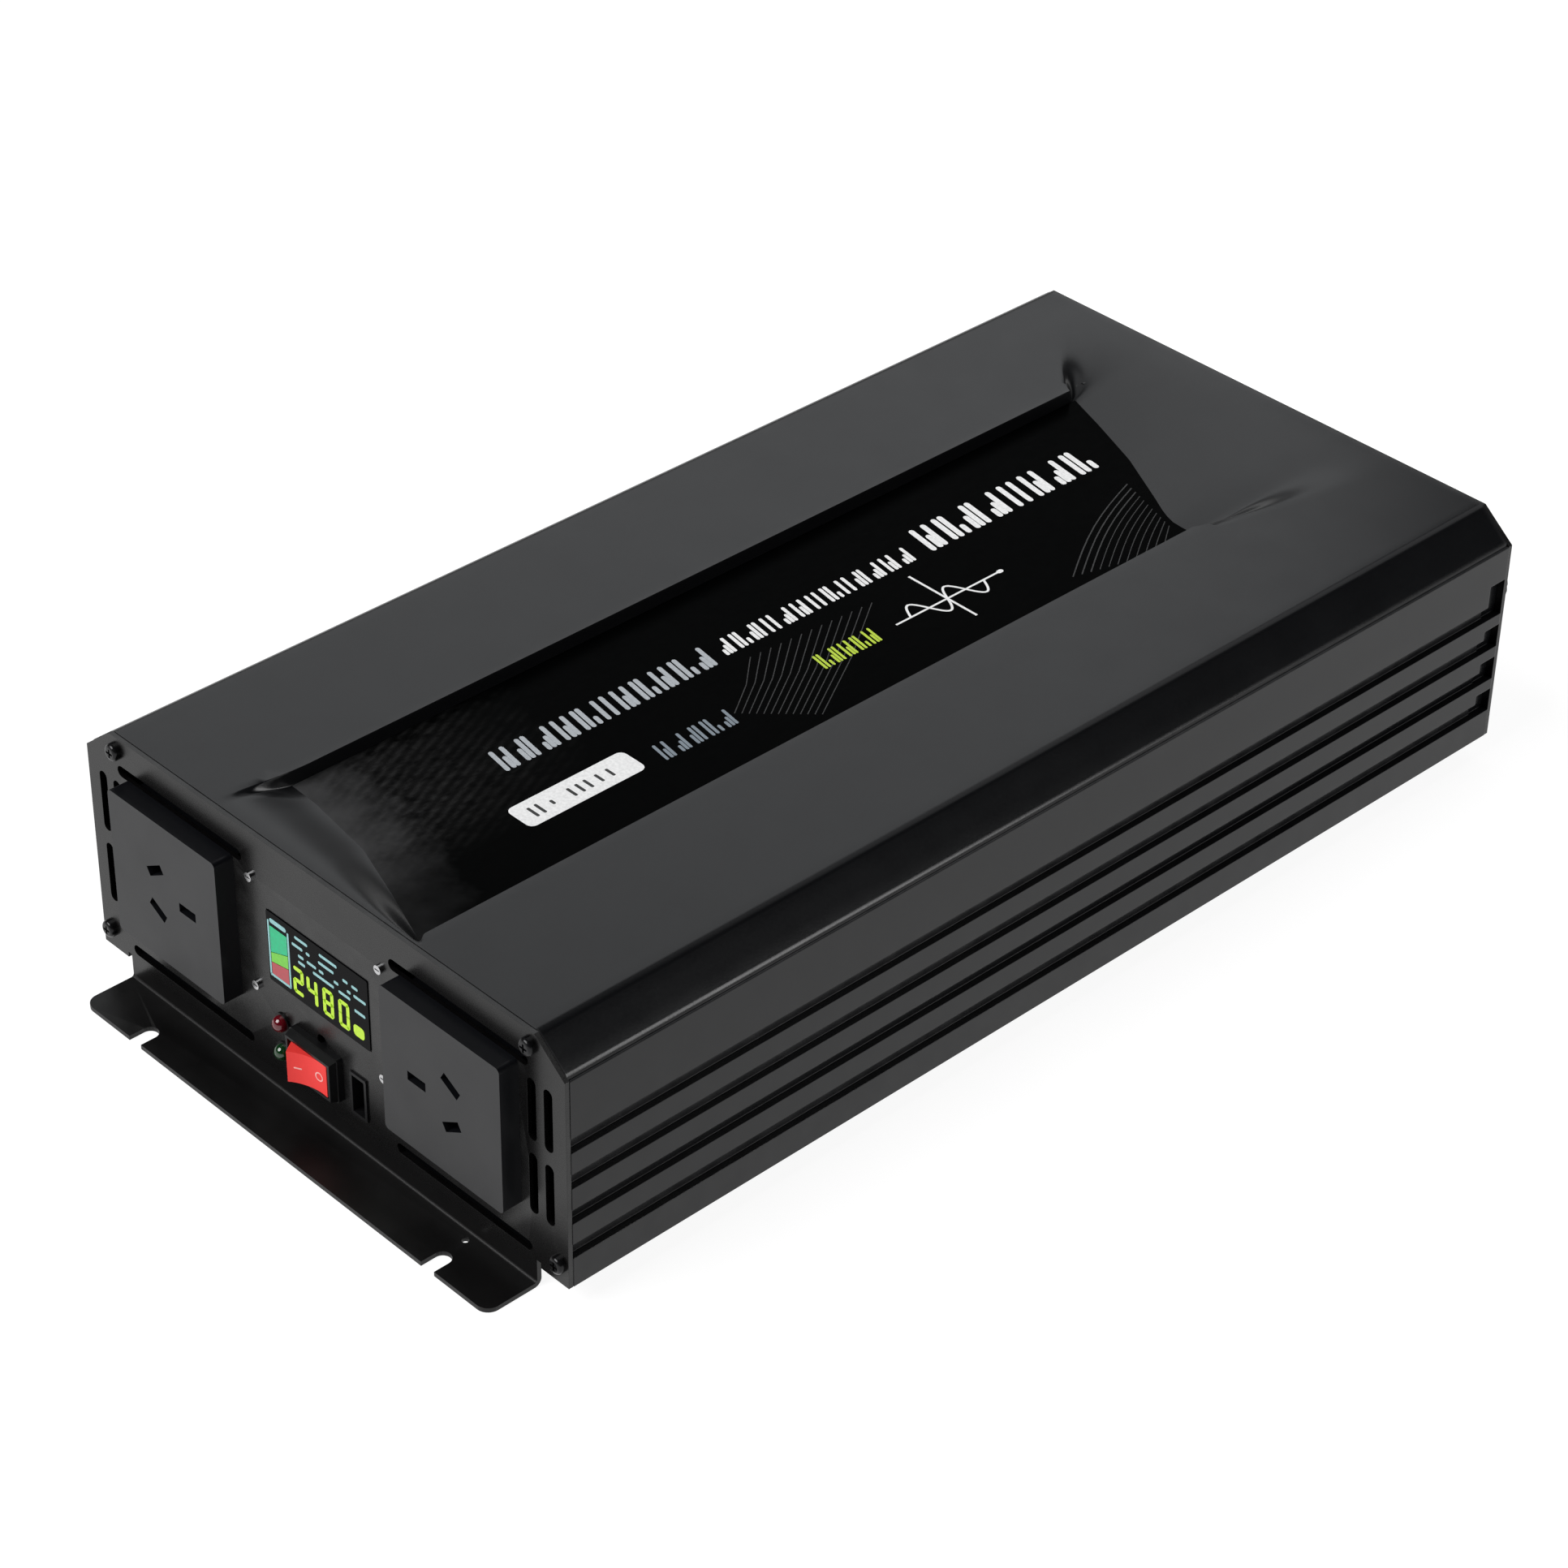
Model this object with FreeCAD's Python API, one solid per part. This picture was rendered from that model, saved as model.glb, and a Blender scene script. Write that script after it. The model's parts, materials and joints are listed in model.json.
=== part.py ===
"""Power inverter: an extruded case with AC outlets, display and switch at the front, fans and battery
terminals at the back, and its electronics inside.

Millimetres. +X is the right side seen from the front, +Y points to the back, +Z is up. The origin is the
middle of the case on the plane that the two mounting feet stand on.
"""
import FreeCAD, Part
import math
import os

Vector = FreeCAD.Vector
X_AXIS = Vector(1, 0, 0)
Y_AXIS = Vector(0, 1, 0)
Z_AXIS = Vector(0, 0, 1)
SIDES = (-1, 1)

# Case
CASE_WIDTH = 204.0
CASE_LENGTH = 380.0
CASE_HEIGHT = 78.7
SHOULDER_WIDTH = 11.7
SHOULDER_HEIGHT = 9.6
HALF_WIDTH = CASE_WIDTH / 2
FRONT = -CASE_LENGTH / 2
BACK = CASE_LENGTH / 2
SHEET = 1.5
FOOT_DROP = 7.5
WALL = 4.0
FLOOR = 3.0
COVER_THICKNESS = 2.5
SIDE_HEIGHT = CASE_HEIGHT - SHOULDER_HEIGHT
INNER_HALF = HALF_WIDTH - WALL
COVER_INNER_HALF = 89.4
FLAT_HALF = HALF_WIDTH - SHOULDER_WIDTH
GROOVE_BOTTOMS = (9.8, 21.6, 33.5, 45.4)
GROOVE_HEIGHT = 4.6
GROOVE_DEPTH = 2.2
NOTCH_RISES = (3.3, 3.3, 3.3, 7.6)
NOTCH_LENGTH = 7.0
NOTCH_DEPTH = 2.6
BOARD_THICKNESS = 1.6
BOARD_BOTTOM = 11.1
BOARD_TOP = BOARD_BOTTOM + BOARD_THICKNESS

# Recess in the top cover
RECESS_LEFT = -41.0
RECESS_RIGHT = 39.3
RECESS_DEPTH = 5.0
RECESS_FLOOR = CASE_HEIGHT - RECESS_DEPTH
RECESS_UNDERSIDE = RECESS_FLOOR - 2.0
UNDERSIDE_HALF = 44.0
LABEL_GAP = 0.4
LABEL_THICKNESS = 0.6

# Panel screws, as (x, height above the case's bottom)
UPPER_SCREW = (88.0, 73.5)
LOWER_SCREW = (98.0, 6.5)
CHANNEL_RADIUS = 3.9
CHANNEL_HOLE = 1.6
PANEL_SCREW_SHANK = 1.55
PANEL_SCREW_HOLE = 1.9
PANEL_SCREW_HEAD = 2.7

# Mounting feet
FOOT_HALF = 89.0
FOOT_DEPTH = 17.5
FOOT_CORNER = 4.0
FOOT_BEND = 1.0
SLOT_X = 64.7
SLOT_RADIUS = 2.7
SLOT_CENTRE = 12.4

# AC outlets
SOCKET_X = 59.4
SOCKET_HEIGHT = 42.0
SOCKET_SIZE = 48.5
SOCKET_PROUD = 6.5
SOCKET_NECK = 44.0
SOCKET_DEPTH = 20.0
LIVE_SLOT_OFFSET = 4.2
LIVE_SLOT_SPREAD = 6.85
EARTH_SLOT_OFFSET = -9.9
PIN_SLOT = (7.4, 3.0)
PIN_SLOT_DEPTH = 17.0

# Display
DISPLAY_X = 0.35
DISPLAY_HEIGHT = 44.0
WINDOW_SIZE = (43.5, 23.8)
DISPLAY_SCREW_X = 27.7
DISPLAY_SCREW_HEIGHTS = (26.5, 63.5)

# Rocker switch
SWITCH_X = -1.4
SWITCH_HEIGHT = 14.5
BEZEL_SIZE = (21.0, 15.0)
BEZEL_PROUD = 2.0
RIM_SIZE = (19.0, 12.6)
RIM_PROUD = 4.2
SWITCH_NECK = (19.2, 13.2)
ROCKER_CAVITY = (17.4, 11.0)
ROCKER_RADIUS = 9.4
ROCKER_TIP_ANGLE = 45.0
ROCKER_TILT = 16.0
ROCKER_WIDTH = 10.6
ROCKER_PIVOT_Y = FRONT + 0.4

# Indicator lamps and USB outlet
LED_X = -17.3
LED_HEIGHTS = {"red": 19.0, "green": 9.0}
LED_RADIUS = 2.5
LED_LEGS = (-1.27, 1.27)
LED_HOLDER_RADIUS = 3.1
LED_SHOULDER = 0.8
USB_X = 16.0
USB_HEIGHT = 13.0
USB_SHELL = (7.0, 14.5)
USB_OPENING = (5.1, 12.5)
USB_DEPTH = 14.0

# Fans
FAN_X = 32.0
FAN_HEIGHT = 40.0
FAN_SIZE = 60.0
FAN_DEPTH = 20.0
FAN_BORE = 28.6
FAN_TIP = 27.6
FAN_HUB = 12.5
FAN_HOLE_PITCH = 50.0
FAN_BLADES = 7
FAN_SHAFT = 1.5
GUARD_RINGS = (8.0, 15.0, 22.0, 29.0)

# Battery terminals
TERMINAL_X = 82.0
TERMINAL_HEIGHT = 42.0
STUD_RADIUS = 4.0
TERMINAL_BASE = 24.0
TERMINAL_BASE_DEPTH = 4.0
WASHER_THICKNESS = 1.5
KNOB_RADIUS = 9.5
KNOB_LENGTH = 11.0
EARTH_SCREW = (82.0, 62.5)


def up(height):
    """Turn a height above the case's bottom into Z."""
    return FOOT_DROP + height


def box(x_range, y_range, height_range):
    """Box between two X values, two Y values and two heights above the case's bottom."""
    size = [high - low for low, high in (x_range, y_range, height_range)]
    corner = Vector(x_range[0], y_range[0], up(height_range[0]))
    return Part.makeBox(size[0], size[1], size[2], corner)


def centred_box(x, height, width, tall, y_range):
    """Box centred on (x, height) that runs along Y."""
    return box((x - width / 2, x + width / 2), y_range, (height - tall / 2, height + tall / 2))


def rod(x, height, radius, y_range):
    """Cylinder along Y."""
    return Part.makeCylinder(radius, y_range[1] - y_range[0], Vector(x, y_range[0], up(height)), Y_AXIS)


def post(x, y, radius, height_range):
    """Cylinder along Z."""
    foot_point = Vector(x, y, up(height_range[0]))
    return Part.makeCylinder(radius, height_range[1] - height_range[0], foot_point, Z_AXIS)


def prism_along_y(points, y_range):
    """Extrude an outline of (x, height) points along Y."""
    corners = [Vector(x, y_range[0], up(height)) for x, height in points]
    face = Part.Face(Part.makePolygon(corners + corners[:1]))
    return face.extrude(Vector(0, y_range[1] - y_range[0], 0))


def prism_along_z(points, height_range):
    """Extrude an outline of (x, y) points upwards."""
    corners = [Vector(x, y, up(height_range[0])) for x, y in points]
    face = Part.Face(Part.makePolygon(corners + corners[:1]))
    return face.extrude(Vector(0, 0, height_range[1] - height_range[0]))


def slot_along(axis, x, height, length, width, y_range):
    """Round-ended slot cutter through a panel, long along "x" or "z"."""
    reach = (length - width) / 2
    if axis == "x":
        ends = [(x - reach, height), (x + reach, height)]
        middle = centred_box(x, height, 2 * reach, width, y_range)
    else:
        ends = [(x, height - reach), (x, height + reach)]
        middle = centred_box(x, height, width, 2 * reach, y_range)
    return fuse([middle] + [rod(end_x, end_height, width / 2, y_range) for end_x, end_height in ends])


def fuse(shapes):
    """Join solids into one."""
    if len(shapes) == 1:
        return shapes[0]
    return shapes[0].multiFuse(shapes[1:]).removeSplitter()


def cut(shape, cutters):
    """Take the cutters out of a solid."""
    return shape.cut(Part.makeCompound(cutters))


def vertical_edges(shape, is_wanted):
    """Edges parallel to Z whose middle passes the test."""
    edges = []
    for edge in shape.Edges:
        start, end = edge.Vertexes[0].Point, edge.Vertexes[-1].Point
        if abs(start.x - end.x) < 1e-6 and abs(start.y - end.y) < 1e-6 and is_wanted(start):
            edges.append(edge)
    return edges


def edges_along_y(shape):
    """Straight edges parallel to Y."""
    edges = []
    for edge in shape.Edges:
        start, end = edge.Vertexes[0].Point, edge.Vertexes[-1].Point
        if abs(start.x - end.x) < 1e-6 and abs(start.z - end.z) < 1e-6 and abs(start.y - end.y) > 1e-6:
            edges.append(edge)
    return edges


def rims(shape, is_wanted):
    """Full circles square to Y whose Y passes the test."""
    return [edge for edge in shape.Edges if len(edge.Vertexes) == 1 and is_wanted(edge.Vertexes[0].Point.y)]


def mirrored(shape):
    """Mirror image from the right side to the left."""
    return shape.mirror(Vector(0, 0, 0), X_AXIS)


def save(name, shape):
    """Write one node as a STEP file."""
    os.makedirs("parts", exist_ok=True)
    if not shape.isValid():
        print("not valid:", name)
    shape.exportStep("parts/" + name + ".step")


def save_group(name, solids):
    """Write separate solids as one node."""
    save(name, Part.makeCompound(solids))


def tube(points, radius):
    """Wire along straight runs joined by tangent arcs."""
    corners = [Vector(x, y, up(height)) for x, y, height in points]
    edges = []
    start = corners[0]
    for before, corner, after in zip(corners, corners[1:], corners[2:]):
        back = (before - corner).normalize()
        ahead = (after - corner).normalize()
        shorter = min(before.distanceToPoint(corner), after.distanceToPoint(corner))
        trim = 0.45 * shorter
        half_angle = back.getAngle(ahead) / 2
        arc_radius = trim * math.tan(half_angle)
        middle_direction = (back + ahead).normalize()
        centre_distance = trim / math.cos(half_angle)
        arc_start = corner + back * trim
        arc_middle = corner + middle_direction * (centre_distance - arc_radius)
        arc_end = corner + ahead * trim
        edges.append(Part.LineSegment(start, arc_start).toShape())
        edges.append(Part.Arc(arc_start, arc_middle, arc_end).toShape())
        start = arc_end
    edges.append(Part.LineSegment(start, corners[-1]).toShape())
    path = Part.Wire(edges)
    direction = (corners[1] - corners[0]).normalize()
    section = Part.Wire([Part.Circle(corners[0], direction, radius).toShape()])
    return path.makePipeShell([section], True, False)


# ---------------------------------------------------------------- case

def tray_half_outline():
    """Half of the tray's U section, right side, as (x, height)."""
    return [
        (0, 0), (HALF_WIDTH, 0), (HALF_WIDTH, SIDE_HEIGHT),
        (INNER_HALF, SIDE_HEIGHT), (INNER_HALF, FLOOR), (0, FLOOR),
    ]


def side_cutters(y_range):
    """Grooves along the right side wall, and the pockets at their back ends."""
    cutters = []
    for bottom, rise in zip(GROOVE_BOTTOMS, NOTCH_RISES):
        top = bottom + GROOVE_HEIGHT
        cutters.append(box((HALF_WIDTH - GROOVE_DEPTH, HALF_WIDTH + 1), y_range, (bottom, top)))
        pocket_y = (y_range[1] - NOTCH_LENGTH, y_range[1])
        cutters.append(box((HALF_WIDTH - NOTCH_DEPTH, HALF_WIDTH + 1), pocket_y, (bottom, top + rise)))
    return cutters


def base_tray():
    """Bottom and side walls, with the slots that hold the main board and the lower screw channels."""
    length = (FRONT + SHEET, BACK - SHEET)
    right = prism_along_y(tray_half_outline(), length)
    rails = [
        box((INNER_HALF - 3.5, INNER_HALF + 0.5), length, (9.5, BOARD_BOTTOM - 0.1)),
        box((INNER_HALF - 3.5, INNER_HALF + 0.5), length, (BOARD_TOP + 0.1, BOARD_TOP + 1.6)),
    ]
    channel = rod(*LOWER_SCREW, CHANNEL_RADIUS, length)
    right = fuse([right, channel] + rails)
    right = cut(right, side_cutters(length) + [rod(*LOWER_SCREW, CHANNEL_HOLE, length)])
    return fuse([right, mirrored(right)])


def recess_cutter():
    """Space of the recess: upright side walls, and a ramp at each end that is longer at one side."""
    floor_outline = [(RECESS_LEFT, FRONT + 29), (RECESS_RIGHT, FRONT + 7),
                     (RECESS_RIGHT, FRONT + 306), (RECESS_LEFT, FRONT + 340)]
    top_outline = [(RECESS_LEFT, FRONT + 3), (RECESS_RIGHT, FRONT + 3),
                   (RECESS_RIGHT, FRONT + 377), (RECESS_LEFT, FRONT + 377)]
    wires = []
    for outline, height in ((floor_outline, RECESS_FLOOR), (top_outline, CASE_HEIGHT)):
        corners = [Vector(x, y, up(height)) for x, y in outline]
        wires.append(Part.makePolygon(corners + corners[:1]))
    return Part.makeLoft(wires, True, True)


def cover_half_outline():
    """Half of the cover's section, right side, as (x, height)."""
    return [
        (0, RECESS_UNDERSIDE), (UNDERSIDE_HALF, RECESS_UNDERSIDE),
        (UNDERSIDE_HALF, CASE_HEIGHT - COVER_THICKNESS),
        (COVER_INNER_HALF, CASE_HEIGHT - COVER_THICKNESS), (INNER_HALF + 0.05, SIDE_HEIGHT),
        (HALF_WIDTH, SIDE_HEIGHT), (FLAT_HALF, CASE_HEIGHT), (0, CASE_HEIGHT),
    ]


def top_cover():
    """Top plate with shoulders, recess, upper screw channels and skirts inside the tray's walls."""
    length = (FRONT + SHEET, BACK - SHEET)
    plate = prism_along_y(cover_half_outline(), length)
    skirt = box((INNER_HALF - 3.8, INNER_HALF - 0.2), length, (63, 72))
    channel = rod(*UPPER_SCREW, CHANNEL_RADIUS, length)
    right = fuse([plate, skirt, channel])
    right = cut(right, [rod(*UPPER_SCREW, CHANNEL_HOLE, length)])
    return cut(fuse([right, mirrored(right)]), [recess_cutter()])


def label_plate():
    """Thin glossy plate on the recess floor, with slanted ends."""
    left = RECESS_LEFT + LABEL_GAP
    right = RECESS_RIGHT - LABEL_GAP
    outline = [(left, FRONT + 30), (right, FRONT + 9), (right, FRONT + 305), (left, FRONT + 337)]
    return prism_along_z(outline, (RECESS_FLOOR, RECESS_FLOOR + LABEL_THICKNESS))


# ---------------------------------------------------------------- end panels, modelled at the front

def panel_sheet():
    """Flat sheet with the case's outline, a little inside its edges."""
    inset = 0.2
    side = HALF_WIDTH - inset
    flat = FLAT_HALF - 0.1
    top = CASE_HEIGHT - inset
    outline = [(-side, 0), (side, 0), (side, SIDE_HEIGHT), (flat, top), (-flat, top), (-side, SIDE_HEIGHT)]
    return prism_along_y(outline, (FRONT, FRONT + SHEET))


def foot():
    """Foot bent forwards from the sheet's bottom edge, with rounded corners."""
    inner = FRONT - FOOT_BEND
    outer_radius = FOOT_BEND + SHEET
    low = -FOOT_DROP
    bend_height = low + outer_radius
    tip = FRONT - FOOT_DEPTH
    half_turn = math.sqrt(0.5)

    def at(y, height):
        return Vector(-FOOT_HALF, y, up(height))

    def on_bend(radius):
        return at(inner + radius * half_turn, bend_height - radius * half_turn)

    edges = [
        Part.makeLine(at(tip, low), at(inner, low)),
        Part.Arc(at(inner, low), on_bend(outer_radius), at(FRONT + SHEET, bend_height)).toShape(),
        Part.makeLine(at(FRONT + SHEET, bend_height), at(FRONT + SHEET, 0.5)),
        Part.makeLine(at(FRONT + SHEET, 0.5), at(FRONT, 0.5)),
        Part.makeLine(at(FRONT, 0.5), at(FRONT, bend_height)),
        Part.Arc(at(FRONT, bend_height), on_bend(FOOT_BEND), at(inner, low + SHEET)).toShape(),
        Part.makeLine(at(inner, low + SHEET), at(tip, low + SHEET)),
        Part.makeLine(at(tip, low + SHEET), at(tip, low)),
    ]
    plate = Part.Face(Part.Wire(edges)).extrude(Vector(2 * FOOT_HALF, 0, 0))
    return plate.makeFillet(FOOT_CORNER, vertical_edges(plate, lambda point: abs(point.y - tip) < 0.01))


def foot_slot_cutters():
    """Two slots, open at the foot's front edge."""
    cutters = []
    centre = FRONT - SLOT_CENTRE
    heights = (-FOOT_DROP - 1, -FOOT_DROP + SHEET + 1)
    for side in SIDES:
        x = side * SLOT_X
        cutters.append(post(x, centre, SLOT_RADIUS, heights))
        cutters.append(box((x - SLOT_RADIUS, x + SLOT_RADIUS), (FRONT - FOOT_DEPTH - 1, centre), heights))
    return cutters


def screw_positions():
    """The four panel screws, as (x, height)."""
    return [(side * x, height) for x, height in (UPPER_SCREW, LOWER_SCREW) for side in SIDES]


def bare_panel():
    """Sheet and foot with what both end panels share: slots, bend reliefs and screw holes."""
    through = (FRONT - 1, FRONT + SHEET + 1)
    holes = [rod(x, height, PANEL_SCREW_HOLE, through) for x, height in screw_positions()]
    reliefs = [box((side * 89.8 - 0.8, side * 89.8 + 0.8), through, (-1, 1.8)) for side in SIDES]
    return cut(fuse([panel_sheet(), foot()]), foot_slot_cutters() + holes + reliefs)


def front_vents():
    """Upright vents beside each outlet, and long ones above and below it."""
    through = (FRONT - 1, FRONT + SHEET + 1)
    vents = []
    for side in SIDES:
        for x in (95.0, 88.5):
            vents.append(slot_along("z", side * x, 27.9, 20.2, 3.4, through))
            vents.append(slot_along("z", side * x, 52.8, 20.4, 3.4, through))
        vents.append(slot_along("x", side * SOCKET_X, 67.7, 56.0, 3.6, through))
        vents.append(slot_along("x", side * SOCKET_X, 5.0, 56.0, 3.4, through))
    return vents


def front_panel():
    """Front end panel with openings for everything mounted on it."""
    through = (FRONT - 1, FRONT + SHEET + 1)
    clearance = 0.2
    openings = front_vents()
    for side in SIDES:
        openings.append(centred_box(side * SOCKET_X, SOCKET_HEIGHT, SOCKET_NECK + clearance,
                                    SOCKET_NECK + clearance, through))
        for height in DISPLAY_SCREW_HEIGHTS:
            openings.append(rod(side * DISPLAY_SCREW_X, height, 1.1, through))
    openings.append(centred_box(DISPLAY_X, DISPLAY_HEIGHT, WINDOW_SIZE[0] + clearance,
                                WINDOW_SIZE[1] + clearance, through))
    openings.append(centred_box(SWITCH_X, SWITCH_HEIGHT, SWITCH_NECK[0] + clearance,
                                SWITCH_NECK[1] + clearance, through))
    openings.append(centred_box(USB_X, USB_HEIGHT, USB_SHELL[0] + clearance,
                                USB_SHELL[1] + clearance, through))
    for height in LED_HEIGHTS.values():
        openings.append(rod(LED_X, height, LED_HOLDER_RADIUS - 0.4, through))
    openings.append(rod(0.2, 22.8, 2.0, through))
    tooling_hole = post(63.3, FRONT - 3.2, 1.1, (-FOOT_DROP - 1, -FOOT_DROP + SHEET + 1))
    return cut(bare_panel(), openings + [tooling_hole])


def rear_panel():
    """Back end panel with openings for the fans, the terminals and the earth screw."""
    panel = bare_panel()
    panel.rotate(Vector(0, 0, 0), Z_AXIS, 180)
    through = (BACK - SHEET - 1, BACK + 1)
    openings = [rod(*EARTH_SCREW, 2.6, through)]
    for side in SIDES:
        openings.append(rod(side * FAN_X, FAN_HEIGHT, FAN_BORE, through))
        openings.append(centred_box(side * TERMINAL_X, TERMINAL_HEIGHT, 14.2, 14.2, through))
        for x, height in fan_hole_positions(side):
            openings.append(rod(x, height, 2.2, through))
    return cut(panel, openings)


def panel_screw(x, height):
    """Pan-head screw with a cross recess, at the front panel."""
    head = rod(x, height, PANEL_SCREW_HEAD, (FRONT - 2.0, FRONT))
    head = head.makeFillet(1.1, rims(head, lambda y: y < FRONT - 1))
    shank = rod(x, height, PANEL_SCREW_SHANK, (FRONT, FRONT + 12))
    recess = [centred_box(x, height, 2.8, 0.7, (FRONT - 3, FRONT - 0.9)),
              centred_box(x, height, 0.7, 2.8, (FRONT - 3, FRONT - 0.9))]
    return cut(fuse([head, shank]), recess)


def panel_screws():
    """Four screws at the front panel."""
    return [panel_screw(x, height) for x, height in screw_positions()]


def to_back(solids):
    """Copies of front end solids, turned half round Z to the back end."""
    copies = []
    for solid in solids:
        turned = solid.copy()
        turned.rotate(Vector(0, 0, 0), Z_AXIS, 180)
        copies.append(turned)
    return copies


# ---------------------------------------------------------------- AC outlets

def pin_slot(x, height, angle, y_range):
    """Slot for one flat pin, turned by an angle in the face's plane."""
    slot = centred_box(x, height, PIN_SLOT[0], PIN_SLOT[1], y_range)
    slot.rotate(Vector(x, 0, up(height)), Y_AXIS, angle)
    return slot


def socket_slots(y_range):
    """The three pin slots of the right outlet: two slanted live slots outside, the earth slot inside."""
    slots = []
    for sign in (-1, 1):
        slots.append(pin_slot(SOCKET_X + LIVE_SLOT_OFFSET, SOCKET_HEIGHT + sign * LIVE_SLOT_SPREAD,
                              sign * 30, y_range))
    slots.append(pin_slot(SOCKET_X + EARTH_SLOT_OFFSET, SOCKET_HEIGHT, 0, y_range))
    return slots


def socket_right():
    """Outlet housing: square face in front of the panel, neck behind it, contact chambers inside."""
    front = FRONT - SOCKET_PROUD
    face = centred_box(SOCKET_X, SOCKET_HEIGHT, SOCKET_SIZE, SOCKET_SIZE, (front, FRONT))
    face = face.makeFillet(1.5, edges_along_y(face))
    neck = centred_box(SOCKET_X, SOCKET_HEIGHT, SOCKET_NECK, SOCKET_NECK, (FRONT, FRONT + SOCKET_DEPTH))
    cutters = socket_slots((front - 1, front + PIN_SLOT_DEPTH))
    chamber_y = (front + 5, FRONT + SOCKET_DEPTH + 1)
    chambers = []
    for slot in socket_slots(chamber_y):
        centre = slot.BoundBox.Center
        chambers.append(centred_box(centre.x, centre.z - FOOT_DROP, 9.5, 7.5, chamber_y))
    return cut(fuse([face, neck]), cutters + chambers)


def socket_contacts_right():
    """Three brass clips, each a pair of leaves round a pin slot joined by a back plate with a wire tail."""
    contacts = []
    leaf_y = (FRONT - 0.5, FRONT + 15)
    back_y = (FRONT + 14, FRONT + 15.2)
    for slot, angle in zip(socket_slots(leaf_y), (-30, 30, 0)):
        centre = slot.BoundBox.Center
        x, height = centre.x, centre.z - FOOT_DROP
        leaves = [centred_box(x, height + sign * 1.6, 5.0, 0.7, leaf_y) for sign in (-1, 1)]
        plate = centred_box(x, height, 5.0, 3.9, back_y)
        tail = centred_box(x, height, 1.6, 1.6, (FRONT + 15, FRONT + 23))
        clip = fuse(leaves + [plate, tail])
        clip.rotate(Vector(x, 0, up(height)), Y_AXIS, angle * 0.5)
        contacts.append(clip)
    return contacts


# ---------------------------------------------------------------- display

def display_parts():
    """Window, display module, its board and its four screws."""
    window = centred_box(DISPLAY_X, DISPLAY_HEIGHT, *WINDOW_SIZE, (FRONT - 0.3, FRONT + 1.2))
    window = window.makeFillet(0.6, edges_along_y(window))
    save("lcd_window", window)
    save("lcd_module", centred_box(DISPLAY_X, DISPLAY_HEIGHT, 50, 28, (FRONT + 1.6, FRONT + 5.5)))
    save("display_board", display_board())
    save_group("display_screws", [display_screw(x, height) for x, height in display_screw_positions()])
    buzzer = rod(0, 30, 5, (FRONT + 7.6, FRONT + 14))
    save("buzzer", cut(buzzer, [rod(0, 30, 1.2, (FRONT + 12, FRONT + 15))]))


def display_board():
    """Board behind the display, with a tab that carries the lamps."""
    thickness = (FRONT + 6, FRONT + 7.6)
    through = (FRONT + 5, FRONT + 9)
    board = fuse([box((-31, 31), thickness, (24, 67)), box((-24, -12.2), thickness, (4, 24))])
    holes = [rod(x, height, 1.3, through) for x, height in display_screw_positions()]
    for height in LED_HEIGHTS.values():
        holes.extend(rod(LED_X + offset, height, 0.4, through) for offset in LED_LEGS)
    return cut(board, holes)


def display_screw_positions():
    """The four screws round the display, as (x, height)."""
    return [(side * DISPLAY_SCREW_X, height) for height in DISPLAY_SCREW_HEIGHTS for side in SIDES]


def display_screw(x, height):
    """Small pan-head screw with a spacer behind the panel and a nut behind the board."""
    head = rod(x, height, 1.4, (FRONT - 1.0, FRONT))
    shank = rod(x, height, 1.0, (FRONT, FRONT + 9))
    spacer = rod(x, height, 2.0, (FRONT + SHEET, FRONT + 6))
    nut = rod(x, height, 2.2, (FRONT + 7.6, FRONT + 9))
    slot = centred_box(x, height, 1.9, 0.4, (FRONT - 2, FRONT - 0.5))
    return cut(fuse([head, shank, spacer, nut]), [slot])


# ---------------------------------------------------------------- rocker switch

def switch_body():
    """Bezel with a sloped rim, a body behind it, a cavity for the rocker and holes for its pins."""
    bezel = centred_box(SWITCH_X, SWITCH_HEIGHT, *BEZEL_SIZE, (FRONT - BEZEL_PROUD, FRONT))
    bezel = bezel.makeFillet(1.0, edges_along_y(bezel))
    rim = bezel_rim()
    body = centred_box(SWITCH_X, SWITCH_HEIGHT, *SWITCH_NECK, (FRONT, FRONT + 16))
    cavity = centred_box(SWITCH_X, SWITCH_HEIGHT, *ROCKER_CAVITY, (FRONT - 5, ROCKER_PIVOT_Y + 5.6))
    pin_hole = post(SWITCH_X, ROCKER_PIVOT_Y, 1.25, (SWITCH_HEIGHT - 6.3, SWITCH_HEIGHT + 6.3))
    return cut(fuse([bezel, rim, body]), [cavity, pin_hole])


def bezel_rim():
    """Rim that slopes in from the bezel's face to the rocker's opening."""
    wires = []
    for (width, tall), y in (((20.0, 14.0), FRONT - BEZEL_PROUD), (RIM_SIZE, FRONT - RIM_PROUD)):
        corners = []
        for side_x, side_z in ((-1, -1), (1, -1), (1, 1), (-1, 1)):
            height = SWITCH_HEIGHT + side_z * tall / 2
            corners.append(Vector(SWITCH_X + side_x * width / 2, y, up(height)))
        wires.append(Part.makePolygon(corners + corners[:1]))
    return Part.makeLoft(wires, True, True)


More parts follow.
